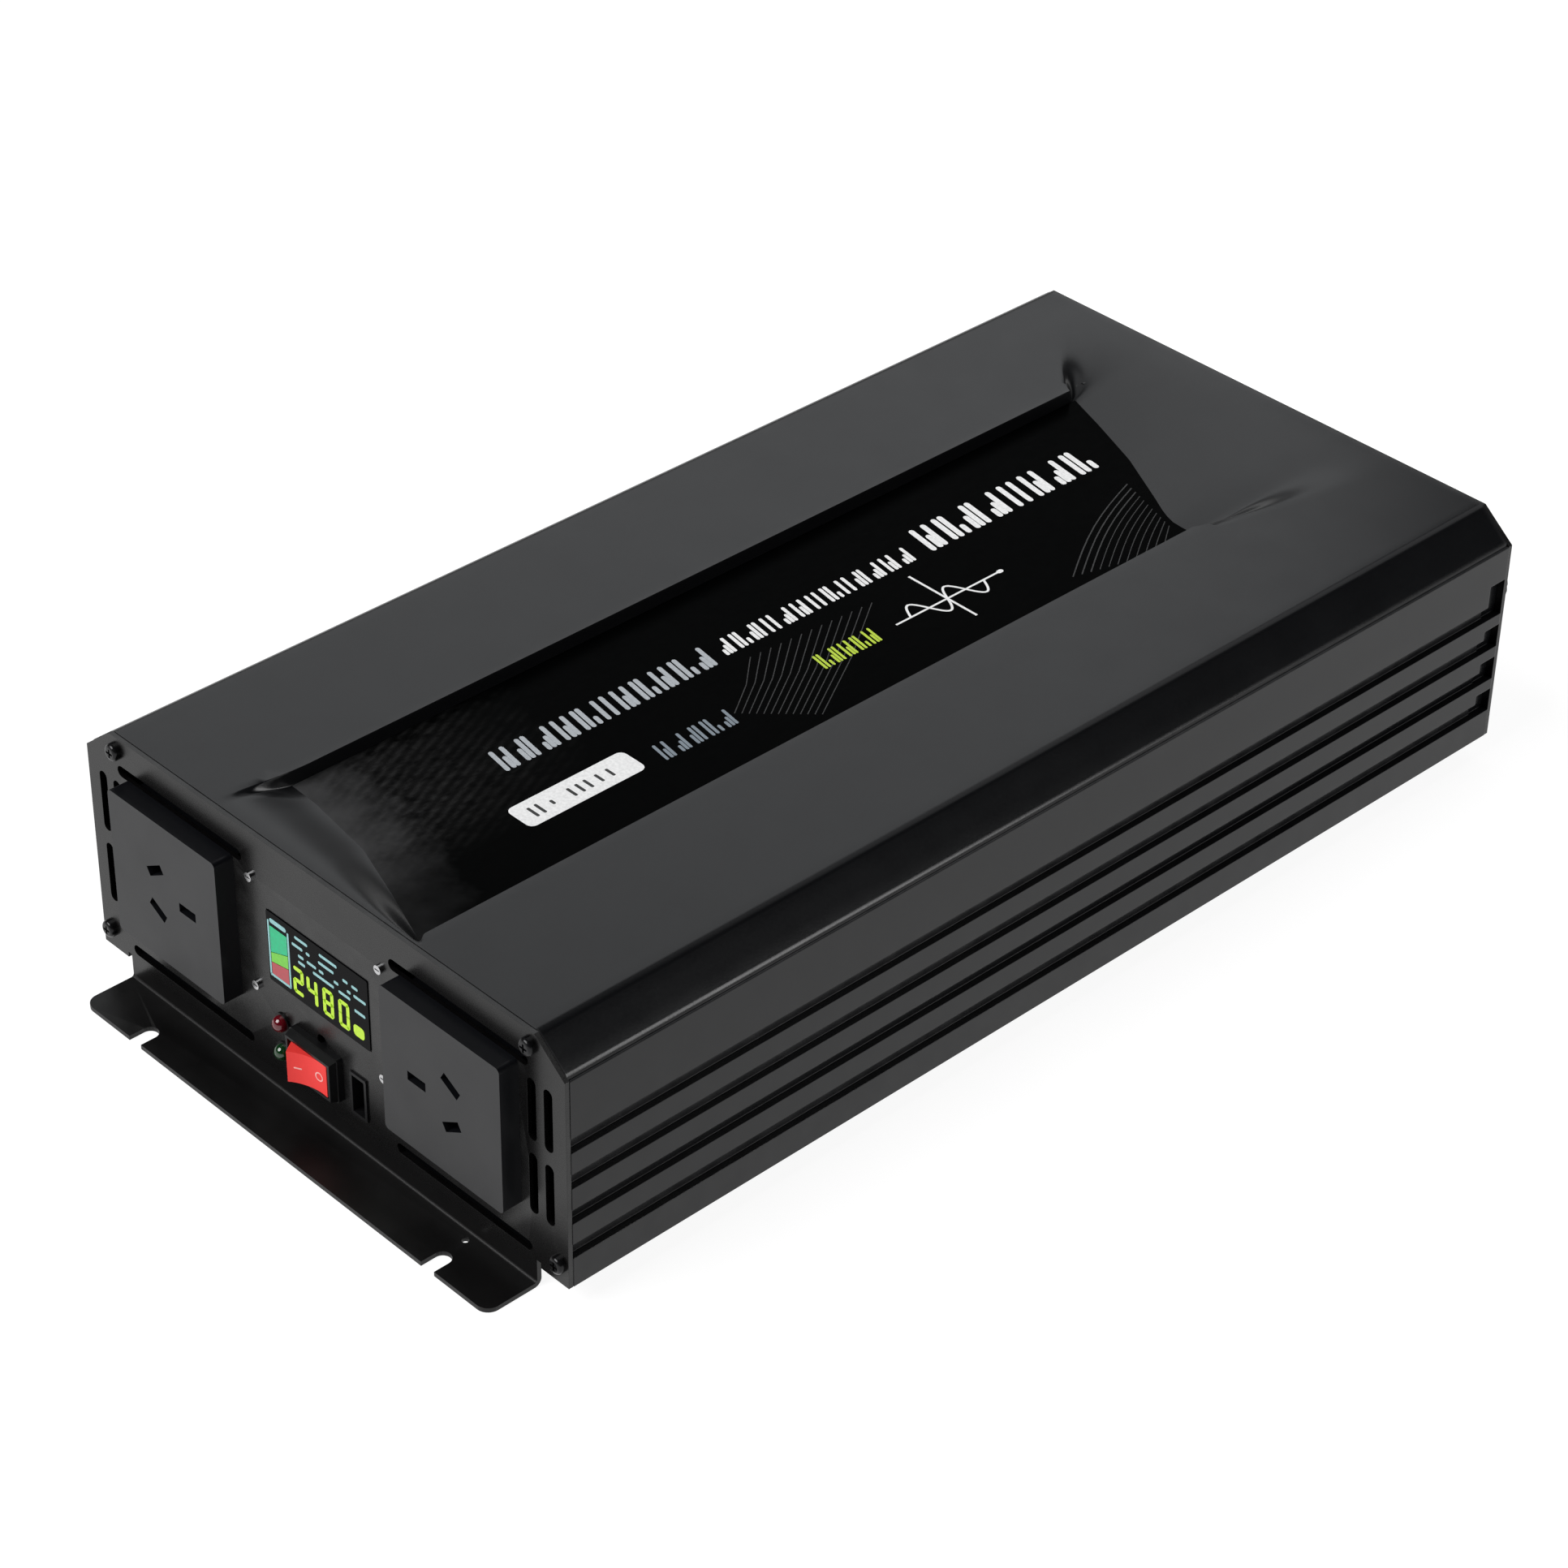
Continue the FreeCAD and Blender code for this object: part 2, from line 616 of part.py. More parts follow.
def power_rocker():
    """Rocker with a hollowed face on two pivot pins, its left end out and its right end pressed in."""
    tip = math.radians(ROCKER_TIP_ANGLE)
    tip_x = ROCKER_RADIUS * math.sin(tip)
    tip_y = -ROCKER_RADIUS * math.cos(tip)
    low = SWITCH_HEIGHT - ROCKER_WIDTH / 2
    flank = [(tip_x, tip_y), (8.2, -1.6), (7.8, 1.2), (2.0, 4.0)]

    def at(x, y):
        return Vector(SWITCH_X + x, ROCKER_PIVOT_Y + y, up(low))

    outline = flank + [(-x, y) for x, y in reversed(flank)]
    edges = [Part.makeLine(at(*start), at(*end)) for start, end in zip(outline, outline[1:])]
    edges.append(Part.Arc(at(-tip_x, tip_y), at(0, tip_y + 1.3), at(tip_x, tip_y)).toShape())
    rocker = Part.Face(Part.Wire(edges)).extrude(Vector(0, 0, ROCKER_WIDTH))
    pins = post(SWITCH_X, ROCKER_PIVOT_Y, 1.2, (SWITCH_HEIGHT - 6.2, SWITCH_HEIGHT + 6.2))
    rocker = fuse([rocker, pins])
    rocker.rotate(Vector(SWITCH_X, ROCKER_PIVOT_Y, 0), Z_AXIS, ROCKER_TILT)
    return rocker


def switch_terminals():
    """Two spade terminals at the back of the switch."""
    blades = []
    for x in (SWITCH_X - 5, SWITCH_X + 5):
        blade = centred_box(x, SWITCH_HEIGHT, 0.8, 4.8, (FRONT + 16, FRONT + 24))
        hole = Part.makeCylinder(0.8, 4, Vector(x - 2, FRONT + 21.5, up(SWITCH_HEIGHT)), X_AXIS)
        blades.append(cut(blade, [hole]))
    return blades


# ---------------------------------------------------------------- lamps and USB outlet

def lamp(height):
    """Lamp with a domed nose, a flange and two legs."""
    barrel = rod(LED_X, height, LED_RADIUS, (FRONT - LED_SHOULDER, FRONT + 5))
    dome = Part.makeSphere(LED_RADIUS, Vector(LED_X, FRONT - LED_SHOULDER, up(height)))
    legs = [rod(LED_X + offset, height, 0.3, (FRONT + 4, FRONT + 10)) for offset in LED_LEGS]
    return fuse([barrel, dome] + legs)


def lamp_holder(height):
    """Ring that holds a lamp in the panel."""
    rim = rod(LED_X, height, LED_HOLDER_RADIUS, (FRONT - 0.5, FRONT))
    sleeve = rod(LED_X, height, LED_HOLDER_RADIUS - 0.45, (FRONT, FRONT + 4))
    return cut(fuse([rim, sleeve]), [rod(LED_X, height, LED_RADIUS, (FRONT - 2, FRONT + 5))])


def usb_parts():
    """USB outlet: metal shell, plastic tongue and the board behind it."""
    shell = centred_box(USB_X, USB_HEIGHT, *USB_SHELL, (FRONT - 0.6, FRONT + USB_DEPTH))
    shell = shell.makeFillet(0.6, edges_along_y(shell))
    opening = centred_box(USB_X, USB_HEIGHT, *USB_OPENING, (FRONT - 1, FRONT + USB_DEPTH - 1.5))
    save("usb_shell", cut(shell, [opening]))
    tongue_x = USB_X + 0.9
    tongue_end = FRONT + USB_DEPTH - 1.5
    tongue = centred_box(tongue_x, USB_HEIGHT, 1.8, 11.0, (FRONT + 1.5, tongue_end))
    save("usb_tongue", tongue)
    board_x = USB_X + USB_SHELL[0] / 2
    save("usb_board", box((board_x, board_x + BOARD_THICKNESS), (FRONT + 3, FRONT + 30), (FLOOR + 1.5, 22.0)))


# ---------------------------------------------------------------- fans

def fan_hole_positions(side):
    """The four screw holes of one fan, as (x, height)."""
    reach = FAN_HOLE_PITCH / 2
    return [(side * FAN_X + dx, FAN_HEIGHT + dz) for dx in (-reach, reach) for dz in (-reach, reach)]


def fan_frame(side):
    """Square frame with a round duct, and a bearing housing carried by three struts at its inner face."""
    x = side * FAN_X
    outer = BACK - SHEET
    inner = outer - FAN_DEPTH
    frame = centred_box(x, FAN_HEIGHT, FAN_SIZE, FAN_SIZE, (inner, outer))
    frame = frame.makeFillet(4, edges_along_y(frame))
    holes = [rod(hole_x, height, 2.15, (inner - 1, outer + 1)) for hole_x, height in fan_hole_positions(side)]
    frame = cut(frame, holes + [rod(x, FAN_HEIGHT, FAN_BORE, (inner - 1, outer + 1))])
    plate = rod(x, FAN_HEIGHT, 13, (inner, inner + 2))
    sleeve = rod(x, FAN_HEIGHT, 4, (inner, inner + 12))
    struts = []
    for angle in (90, 210, 330):
        strut = box((x + 8, x + FAN_BORE + 0.8), (inner, inner + 2), (FAN_HEIGHT - 1.8, FAN_HEIGHT + 1.8))
        strut.rotate(Vector(x, 0, up(FAN_HEIGHT)), Y_AXIS, angle)
        struts.append(strut)
    frame = fuse([frame, plate, sleeve] + struts)
    return cut(frame, [rod(x, FAN_HEIGHT, FAN_SHAFT + 0.05, (inner + 1, inner + 13))])


def blade_section(radius, pitch, chord, middle_y):
    """Closed thin section of a blade at one radius, square to X."""
    thickness = 0.6
    lean = math.radians(pitch)
    corners = []
    for along, across in ((-1, -1), (1, -1), (1, 1), (-1, 1)):
        y = along * chord / 2 * math.cos(lean) - across * thickness * math.sin(lean)
        z = along * chord / 2 * math.sin(lean) + across * thickness * math.cos(lean)
        corners.append(Vector(radius, middle_y + y, z))
    return Part.makePolygon(corners + corners[:1])


def fan_rotor(side):
    """Hub cup with a shaft and seven twisted blades."""
    x = side * FAN_X
    inner = BACK - SHEET - FAN_DEPTH
    hub_y = (inner + 3, inner + 19)
    middle = (hub_y[0] + hub_y[1]) / 2
    cup = rod(0, 0, FAN_HUB, hub_y)
    cup = cup.makeFillet(1.5, rims(cup, lambda y: y > middle))
    cup = cut(cup, [rod(0, 0, FAN_HUB - 1.5, (hub_y[0] - 1, hub_y[1] - 2))])
    shaft = rod(0, 0, FAN_SHAFT, (inner + 1.5, hub_y[1] - 1.5))
    sections = [blade_section(FAN_HUB - 0.8, 38, 15, middle), blade_section(FAN_TIP, 58, 17, middle)]
    blade = Part.makeLoft(sections, True, True)
    blade.translate(Vector(0, 0, up(0)))
    blades = []
    for number in range(FAN_BLADES):
        copy = blade.copy()
        copy.rotate(Vector(0, 0, up(0)), Y_AXIS, number * 360 / FAN_BLADES)
        blades.append(copy)
    duct = rod(0, 0, FAN_TIP, (inner, inner + FAN_DEPTH))
    rotor = fuse([cup, shaft] + [blade.common(duct) for blade in blades])
    rotor.translate(Vector(x, 0, FAN_HEIGHT))
    return rotor


def fan_guard(side):
    """Guard of four rings on four legs, with eyes for the screws."""
    x = side * FAN_X
    half_wire = 0.8
    ring_y = (BACK + 1.8, BACK + 3.4)
    leg_y = (BACK + 0.5, BACK + 2.1)
    eye_y = (BACK, BACK + 2.2)
    pieces = []
    for radius in GUARD_RINGS:
        ring = rod(x, FAN_HEIGHT, radius + half_wire, ring_y)
        pieces.append(cut(ring, [rod(x, FAN_HEIGHT, radius - half_wire, (ring_y[0] - 1, ring_y[1] + 1))]))
    eye_distance = FAN_HOLE_PITCH / math.sqrt(2)
    for number in range(4):
        leg = box((x + GUARD_RINGS[0] - 0.5, x + eye_distance - 3), leg_y,
                  (FAN_HEIGHT - half_wire, FAN_HEIGHT + half_wire))
        eye = rod(x + eye_distance, FAN_HEIGHT, 3.8, eye_y)
        eye = cut(eye, [rod(x + eye_distance, FAN_HEIGHT, 2.1, (BACK - 1, BACK + 3))])
        for piece in (leg, eye):
            piece.rotate(Vector(x, 0, up(FAN_HEIGHT)), Y_AXIS, 45 + 90 * number)
            pieces.append(piece)
    return fuse(pieces)


def fan_screw(x, height):
    """Pan-head screw through the guard, the panel and the fan."""
    head = rod(x, height, 3.6, (BACK + 2.2, BACK + 4.4))
    shank = rod(x, height, 1.95, (BACK - SHEET - FAN_DEPTH - 5, BACK + 2.2))
    recess = [centred_box(x, height, 3.6, 0.9, (BACK + 3.2, BACK + 5)),
              centred_box(x, height, 0.9, 3.6, (BACK + 3.2, BACK + 5))]
    return cut(fuse([head, shank]), recess)


def hexagon(x, height, across_flats, y_range):
    """Hexagonal bar along Y."""
    radius = across_flats / math.sqrt(3)
    corners = []
    for number in range(6):
        angle = math.radians(60 * number)
        corners.append((x + radius * math.cos(angle), height + radius * math.sin(angle)))
    return prism_along_y(corners, y_range)


def fan_nut(x, height):
    """Hexagonal nut behind the fan."""
    end = BACK - SHEET - FAN_DEPTH
    nut = hexagon(x, height, 7, (end - 3.2, end))
    return cut(nut, [rod(x, height, 1.95, (end - 5, end + 1))])


def fan_lead(side):
    """Lead from a fan down to the main board."""
    x = side * (FAN_X + 20)
    start = BACK - SHEET - FAN_DEPTH
    return tube([(x, start, 16.5), (x, start - 8, 16.5), (x, start - 8, BOARD_TOP)], 1.0)


# ---------------------------------------------------------------- battery terminals

def terminal_base(side):
    """Square insulator in front of the back panel, its neck through it and its flange behind it."""
    x = side * TERMINAL_X
    plate = centred_box(x, TERMINAL_HEIGHT, TERMINAL_BASE, TERMINAL_BASE, (BACK, BACK + TERMINAL_BASE_DEPTH))
    plate = plate.makeFillet(2.5, edges_along_y(plate))
    neck = centred_box(x, TERMINAL_HEIGHT, 14, 14, (BACK - SHEET, BACK))
    flange = centred_box(x, TERMINAL_HEIGHT, 20, 20, (BACK - SHEET - 3, BACK - SHEET))
    bore = rod(x, TERMINAL_HEIGHT, STUD_RADIUS, (BACK - 10, BACK + 10))
    return cut(fuse([plate, neck, flange]), [bore])


def terminal_stud(side):
    """Threaded stud, drawn at its outer diameter."""
    x = side * TERMINAL_X
    return rod(x, TERMINAL_HEIGHT, STUD_RADIUS, (BACK - 24, BACK + 15))


def terminal_nut(side):
    """Nut that clamps the bus bar and the insulator."""
    x = side * TERMINAL_X
    inner = BACK - SHEET - 3 - 3
    nut = hexagon(x, TERMINAL_HEIGHT, 13, (inner - 6, inner))
    return cut(nut, [rod(x, TERMINAL_HEIGHT, STUD_RADIUS, (inner - 7, inner + 1))])


def terminal_washer(side):
    """Flat washer that rides against the knob."""
    x = side * TERMINAL_X
    seat = BACK + TERMINAL_BASE_DEPTH
    washer = rod(x, TERMINAL_HEIGHT, 8.0, (seat, seat + WASHER_THICKNESS))
    return cut(washer, [rod(x, TERMINAL_HEIGHT, STUD_RADIUS + 0.08, (seat - 1, seat + 3))])


def terminal_knob(side):
    """Fluted knob with a blind bore over the stud."""
    x = side * TERMINAL_X
    seat = BACK + TERMINAL_BASE_DEPTH + WASHER_THICKNESS
    knob = rod(x, TERMINAL_HEIGHT, KNOB_RADIUS, (seat, seat + KNOB_LENGTH))
    knob = knob.makeFillet(1.5, rims(knob, lambda y: y > seat + 5))
    flutes = []
    for number in range(12):
        angle = math.radians(30 * number)
        reach = KNOB_RADIUS + 0.9
        flutes.append(rod(x + reach * math.cos(angle), TERMINAL_HEIGHT + reach * math.sin(angle), 1.7,
                          (seat + 2, seat + KNOB_LENGTH + 1)))
    bore = rod(x, TERMINAL_HEIGHT, STUD_RADIUS + 0.08, (seat - 1, seat + 9.8))
    return cut(knob, flutes + [bore])


def bus_bar(side):
    """Copper bar from a stud down to the main board."""
    x = side * TERMINAL_X
    face = (BACK - SHEET - 6, BACK - SHEET - 3)
    upright = box((x - 7, x + 7), face, (BOARD_TOP, TERMINAL_HEIGHT + 8))
    pad = box((x - 7, x + 7), (face[0] - 22, face[1]), (BOARD_TOP, BOARD_TOP + 2.5))
    return cut(fuse([upright, pad]), [rod(x, TERMINAL_HEIGHT, STUD_RADIUS, (face[0] - 1, face[1] + 1))])


def earth_screw():
    """Case earth screw with its washer and nut."""
    head = hexagon(*EARTH_SCREW, 8, (BACK + 1.2, BACK + 5))
    washer = rod(*EARTH_SCREW, 5, (BACK, BACK + 1.2))
    shank = rod(*EARTH_SCREW, 2.5, (BACK - 12, BACK + 1.2))
    nut = hexagon(*EARTH_SCREW, 8, (BACK - SHEET - 4, BACK - SHEET))
    return fuse([head, washer, shank, nut])


# ---------------------------------------------------------------- electronics

def main_board():
    """Circuit board that slides in the tray's slots, cut back behind the fans."""
    board = box((-INNER_HALF + 0.4, INNER_HALF - 0.4), (-158, 182), (BOARD_BOTTOM, BOARD_TOP))
    return cut(board, [box((-66, 66), (162, 183), (BOARD_BOTTOM - 1, BOARD_TOP + 1))])


def heat_sinks():
    """Bar against each side wall that the transistors are clamped to."""
    bars = []
    for side in SIDES:
        xs = sorted((side * (INNER_HALF - 6), side * (INNER_HALF - 0.1)))
        bars.append(box(xs, (-150, 150), (BOARD_TOP + 2.0, 60)))
    return bars


def transistor(side, y):
    """Package on the heat sink, with its tab and three legs into the board."""
    face = INNER_HALF - 6
    centre = 24.0
    tab = box((face - 1.3, face), (y - 5, y + 5), (centre - 8, centre + 8))
    body = box((face - 4.5, face - 1.3), (y - 5, y + 5), (centre - 8, centre + 2))
    legs = [box((face - 3.2, face - 2.6), (y + step - 0.4, y + step + 0.4), (BOARD_TOP, centre - 7.5))
            for step in (-2.54, 0, 2.54)]
    package = fuse([tab, body] + legs)
    return package if side > 0 else mirrored(package)


def transistors(ys):
    """One package per side at each place along the board."""
    return [transistor(side, y) for side in SIDES for y in ys]


def transformer_parts():
    """Two transformers: a ferrite core with two windows round each winding."""
    cores = []
    windings = []
    for side in SIDES:
        x = side * 40
        low = BOARD_TOP + 3
        core = box((x - 28, x + 28), (20, 46), (low, low + 46))
        windows = [box((x + offset - 6.5, x + offset + 6.5), (19, 47), (low + 8, low + 38))
                   for offset in (-14, 14)]
        cores.append(cut(core, windows))
        winding = box((x - 20.2, x + 20.2), (10, 56), (low + 8.2, low + 37.8))
        hole = box((x - 7.6, x + 7.6), (20 - 0.2, 46 + 0.2), (low + 8, low + 38))
        winding = winding.makeFillet(6, vertical_edges(winding, lambda point: True))
        pins = box((x - 20.2, x + 20.2), (10, 18), (BOARD_TOP, low + 8.2))
        windings.append(cut(fuse([winding, pins]), [hole]))
    save_group("transformer_cores", cores)
    save_group("transformer_windings", windings)


def capacitor(x, y, radius, tall):
    """Round capacitor with a rolled groove near its base and a scored top."""
    can = post(x, y, radius, (BOARD_TOP, BOARD_TOP + tall))
    groove = Part.makeTorus(radius + 0.4, 0.9, Vector(x, y, up(BOARD_TOP + 3.5)), Z_AXIS)
    reach = radius * 0.6
    score_heights = (BOARD_TOP + tall - 0.3, BOARD_TOP + tall + 1)
    score = [box((x - reach, x + reach), (y - 0.3, y + 0.3), score_heights),
             box((x - 0.3, x + 0.3), (y - reach, y + reach), score_heights)]
    return cut(can, [groove] + score)


def choke_parts():
    """Output choke: a ring core and its turns."""
    centre = Vector(-45, -85, up(BOARD_TOP + 15))
    ring = Part.makeCylinder(24, 18, centre - Vector(0, 0, 9), Z_AXIS)
    ring = ring.cut(Part.makeCylinder(13, 20, centre - Vector(0, 0, 10), Z_AXIS))
    save("output_choke_core", ring)
    turns = []
    wire = 1.3
    for number in range(20):
        angle = math.radians(18 * number)
        corners = []
        for radius, height in ((11.4, -10.6), (25.6, -10.6), (25.6, 10.6), (11.4, 10.6)):
            corners.append(centre + Vector(radius * math.cos(angle), radius * math.sin(angle), height))
        bars = []
        for start, end in zip(corners, corners[1:] + corners[:1]):
            run = end - start
            bars.append(Part.makeCylinder(wire, run.Length, start, run))
            bars.append(Part.makeSphere(wire, start))
        turns.append(fuse(bars))
    save_group("output_choke_winding", turns)


def electronics():
    """Everything on and around the main board."""
    save("main_board", main_board())
    save_group("heat_sinks", heat_sinks())
    save_group("input_mosfets", transistors([70 + 14 * number for number in range(5)]))
    save_group("bridge_mosfets", transistors([-90 + 16 * number for number in range(3)]))
    transformer_parts()
    save_group("input_capacitors", [capacitor(x, y, 9, 36) for x in (-50, -25, 0, 25, 50) for y in (85, 110)])
    save_group("bus_capacitors", [capacitor(side * 30, -20, 17.5, 45) for side in SIDES])
    choke_parts()
    film = box((24, 56), (-95, -75), (BOARD_TOP, BOARD_TOP + 25))
    save("filter_capacitor", film.makeFillet(1.5, vertical_edges(film, lambda point: True)))
    save("control_board", box((-50, 50), (-130, -130 + BOARD_THICKNESS), (BOARD_TOP, BOARD_TOP + 40)))
    chips = []
    for x, width, height in ((-30, 14, 34), (0, 20, 36), (28, 12, 30)):
        chips.append(centred_box(x, height, width, 8, (-132.5, -130)))
    save_group("control_chips", chips)
    fuses = []
    for number in range(6):
        x = -50 + 20 * number
        cap = box((x - 9, x + 9), (134, 140), (BOARD_TOP + 8, BOARD_TOP + 18))
        blades = [box((x + step - 2.6, x + step + 2.6), (136.6, 137.4), (BOARD_TOP, BOARD_TOP + 8))
                  for step in (-5.5, 5.5)]
        fuses.append(fuse([cap] + blades))
    save_group("blade_fuses", fuses)


def socket_wires():
    """Live, neutral and earth wires from each outlet's tails down to the main board."""
    start = FRONT + 23
    reaches = (("neutral_wires", 11), ("live_wires", 23), ("earth_wires", 17))
    for (name, reach), slot in zip(reaches, socket_slots((0, 1))):
        centre = slot.BoundBox.Center
        height = centre.z - FOOT_DROP
        turn = start + reach
        wire = tube([(centre.x, start, height), (centre.x, turn, height), (centre.x, turn, BOARD_TOP)], 1.4)
        save_group(name, [wire, mirrored(wire)])


# ---------------------------------------------------------------- whole object

def case():
    """Case shells, end panels and their screws."""
    save("base_tray", base_tray())
    save("top_cover", top_cover())
    save("label_plate", label_plate())
    save("front_panel", front_panel())
    save("rear_panel", rear_panel())
    save_group("front_panel_screws", panel_screws())
    save_group("rear_panel_screws", to_back(panel_screws()))


def front_fittings():
    """Outlets, display, switch, lamps and USB outlet."""
    save("socket_right", socket_right())
    save("socket_left", mirrored(socket_right()))
    save_group("socket_right_contacts", socket_contacts_right())
    save_group("socket_left_contacts", [mirrored(clip) for clip in socket_contacts_right()])
    socket_wires()
    display_parts()
    save("switch_body", switch_body())
    save("power_rocker", power_rocker())
    save_group("switch_terminals", switch_terminals())
    for colour, height in LED_HEIGHTS.items():
        save("led_" + colour, lamp(height))
    save_group("led_holders", [lamp_holder(height) for height in LED_HEIGHTS.values()])
    usb_parts()


def rear_fittings():
    """Fans, battery terminals and earth screw."""
    for side, word in zip(SIDES, ("left", "right")):
        save("fan_frame_" + word, fan_frame(side))
        save("fan_rotor_" + word, fan_rotor(side))
    save_group("fan_guards", [fan_guard(side) for side in SIDES])
    holes = [place for side in SIDES for place in fan_hole_positions(side)]
    save_group("fan_screws", [fan_screw(x, height) for x, height in holes])
    save_group("fan_nuts", [fan_nut(x, height) for x, height in holes])
    save_group("fan_leads", [fan_lead(side) for side in SIDES])
    for side, colour in zip(SIDES, ("red", "black")):
        save(colour + "_terminal_base", terminal_base(side))
        save(colour + "_terminal_washer", terminal_washer(side))
        save(colour + "_terminal_knob", terminal_knob(side))
    save_group("terminal_studs", [terminal_stud(side) for side in SIDES])
    save_group("terminal_nuts", [terminal_nut(side) for side in SIDES])
    save_group("bus_bars", [bus_bar(side) for side in SIDES])
    save("earth_screw", earth_screw())


case()
front_fittings()
rear_fittings()
electronics()
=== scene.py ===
"""Looks for the power inverter: smooth cover, printed graphics, lit display, materials, lights and camera."""
import json
import math
import random

import bmesh
import bpy
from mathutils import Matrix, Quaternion, Vector


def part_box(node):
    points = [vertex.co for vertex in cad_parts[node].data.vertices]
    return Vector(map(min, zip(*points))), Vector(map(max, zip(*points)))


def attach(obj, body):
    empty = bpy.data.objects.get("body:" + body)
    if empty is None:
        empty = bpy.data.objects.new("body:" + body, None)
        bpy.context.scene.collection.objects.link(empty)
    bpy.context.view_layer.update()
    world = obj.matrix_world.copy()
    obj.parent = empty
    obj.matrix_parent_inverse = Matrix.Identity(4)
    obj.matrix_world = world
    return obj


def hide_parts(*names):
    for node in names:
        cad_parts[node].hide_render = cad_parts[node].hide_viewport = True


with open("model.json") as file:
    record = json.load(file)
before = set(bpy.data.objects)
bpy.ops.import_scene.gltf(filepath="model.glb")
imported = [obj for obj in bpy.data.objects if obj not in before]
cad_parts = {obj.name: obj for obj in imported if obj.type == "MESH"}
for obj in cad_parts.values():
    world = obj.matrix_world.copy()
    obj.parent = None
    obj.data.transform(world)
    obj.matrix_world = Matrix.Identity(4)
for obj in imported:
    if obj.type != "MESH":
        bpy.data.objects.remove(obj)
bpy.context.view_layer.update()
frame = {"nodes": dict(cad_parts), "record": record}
MM = 0.001
NODES = frame["nodes"]
MATERIALS = {}


# ---------------------------------------------------------------- places, in millimetres

def node_box(name):
    """Lowest and highest corner of a CAD node, in millimetres."""
    low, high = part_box(name)
    return [value / MM for value in low], [value / MM for value in high]


# The front panel is one sheet in front of the cover, and the sockets stand proud of its outer face, FRONT.
COVER_LOW, COVER_HIGH = node_box("top_cover")
SOCKET_PROUD = 6.5
SHEET = COVER_LOW[1] - node_box("socket_right")[0][1] - SOCKET_PROUD
FRONT = COVER_LOW[1] - SHEET
TOP = COVER_HIGH[2]
BOTTOM = node_box("base_tray")[0][2]
LABEL_TOP = node_box("label_plate")[1][2]
WINDOW_FACE = node_box("lcd_window")[0][1]


# ---------------------------------------------------------------- materials

def shader_of(name):
    """Node tree and Principled shader of a material."""
    tree = MATERIALS[name].node_tree
    return tree, tree.nodes["Principled BSDF"]


def new_material(name):
    """Node tree and Principled shader of a new material."""
    MATERIALS[name] = bpy.data.materials.new(name)
    MATERIALS[name].use_nodes = True
    return shader_of(name)


def add(tree, kind, **properties):
    """Node with some of its properties set."""
    node = tree.nodes.new(kind)
    for key, value in properties.items():
        setattr(node, key, value)
    return node


def object_coordinates(tree, stretch=(1, 1, 1)):
    """The object's own coordinates, stretched, as a vector output."""
    source = add(tree, "ShaderNodeTexCoord")
    mapping = add(tree, "ShaderNodeMapping")
    mapping.inputs["Scale"].default_value = stretch
    tree.links.new(source.outputs["Object"], mapping.inputs["Vector"])
    return mapping.outputs["Vector"]


def noise(tree, vector, scale, detail=3.0):
    """Noise texture's value output."""
    node = add(tree, "ShaderNodeTexNoise")
    node.inputs["Scale"].default_value = scale
    node.inputs["Detail"].default_value = detail
    node.inputs["Roughness"].default_value = 0.55
    tree.links.new(vector, node.inputs["Vector"])
    return node.outputs["Fac"]


def spread(tree, value, low, high, from_low=0.3, from_high=0.7):
    """Map a texture value from its usual spread to a range."""
    node = add(tree, "ShaderNodeMapRange")
    node.inputs["From Min"].default_value = from_low
    node.inputs["From Max"].default_value = from_high
    node.inputs["To Min"].default_value = low
    node.inputs["To Max"].default_value = high
    tree.links.new(value, node.inputs["Value"])
    return node.outputs["Result"]


def blend_colors(tree, factor, first, second):
    """Mix two colours, each an output or a fixed colour, by a factor."""
    node = add(tree, "ShaderNodeMix", data_type="RGBA")
    tree.links.new(factor, node.inputs["Factor"])
    for socket, color in (("A", first), ("B", second)):
        target = [entry for entry in node.inputs if entry.name == socket and entry.type == "RGBA"][0]
        if isinstance(color, bpy.types.NodeSocket):
            tree.links.new(color, target)
        else:
            target.default_value = (*color, 1)
    return [entry for entry in node.outputs if entry.type == "RGBA"][0]


def math_node(tree, operation, first, second):
    """Arithmetic on two values, each an output or a number."""
    node = add(tree, "ShaderNodeMath", operation=operation)
    for index, value in enumerate((first, second)):
        if isinstance(value, bpy.types.NodeSocket):
            tree.links.new(value, node.inputs[index])
        else:
            node.inputs[index].default_value = value
    return node.outputs[0]


def mix_values(tree, first, second, share):
    """Two outputs added up, with a share of the first and the rest of the second."""
    return math_node(tree, "ADD", math_node(tree, "MULTIPLY", first, share),
                     math_node(tree, "MULTIPLY", second, 1 - share))


def bump(tree, shader, height, distance, strength=1.0):
    """Bump from a height output, its distance in metres."""
    node = add(tree, "ShaderNodeBump")
    node.inputs["Strength"].default_value = strength
    node.inputs["Distance"].default_value = distance
    tree.links.new(height, node.inputs["Height"])
    tree.links.new(node.outputs["Normal"], shader.inputs["Normal"])


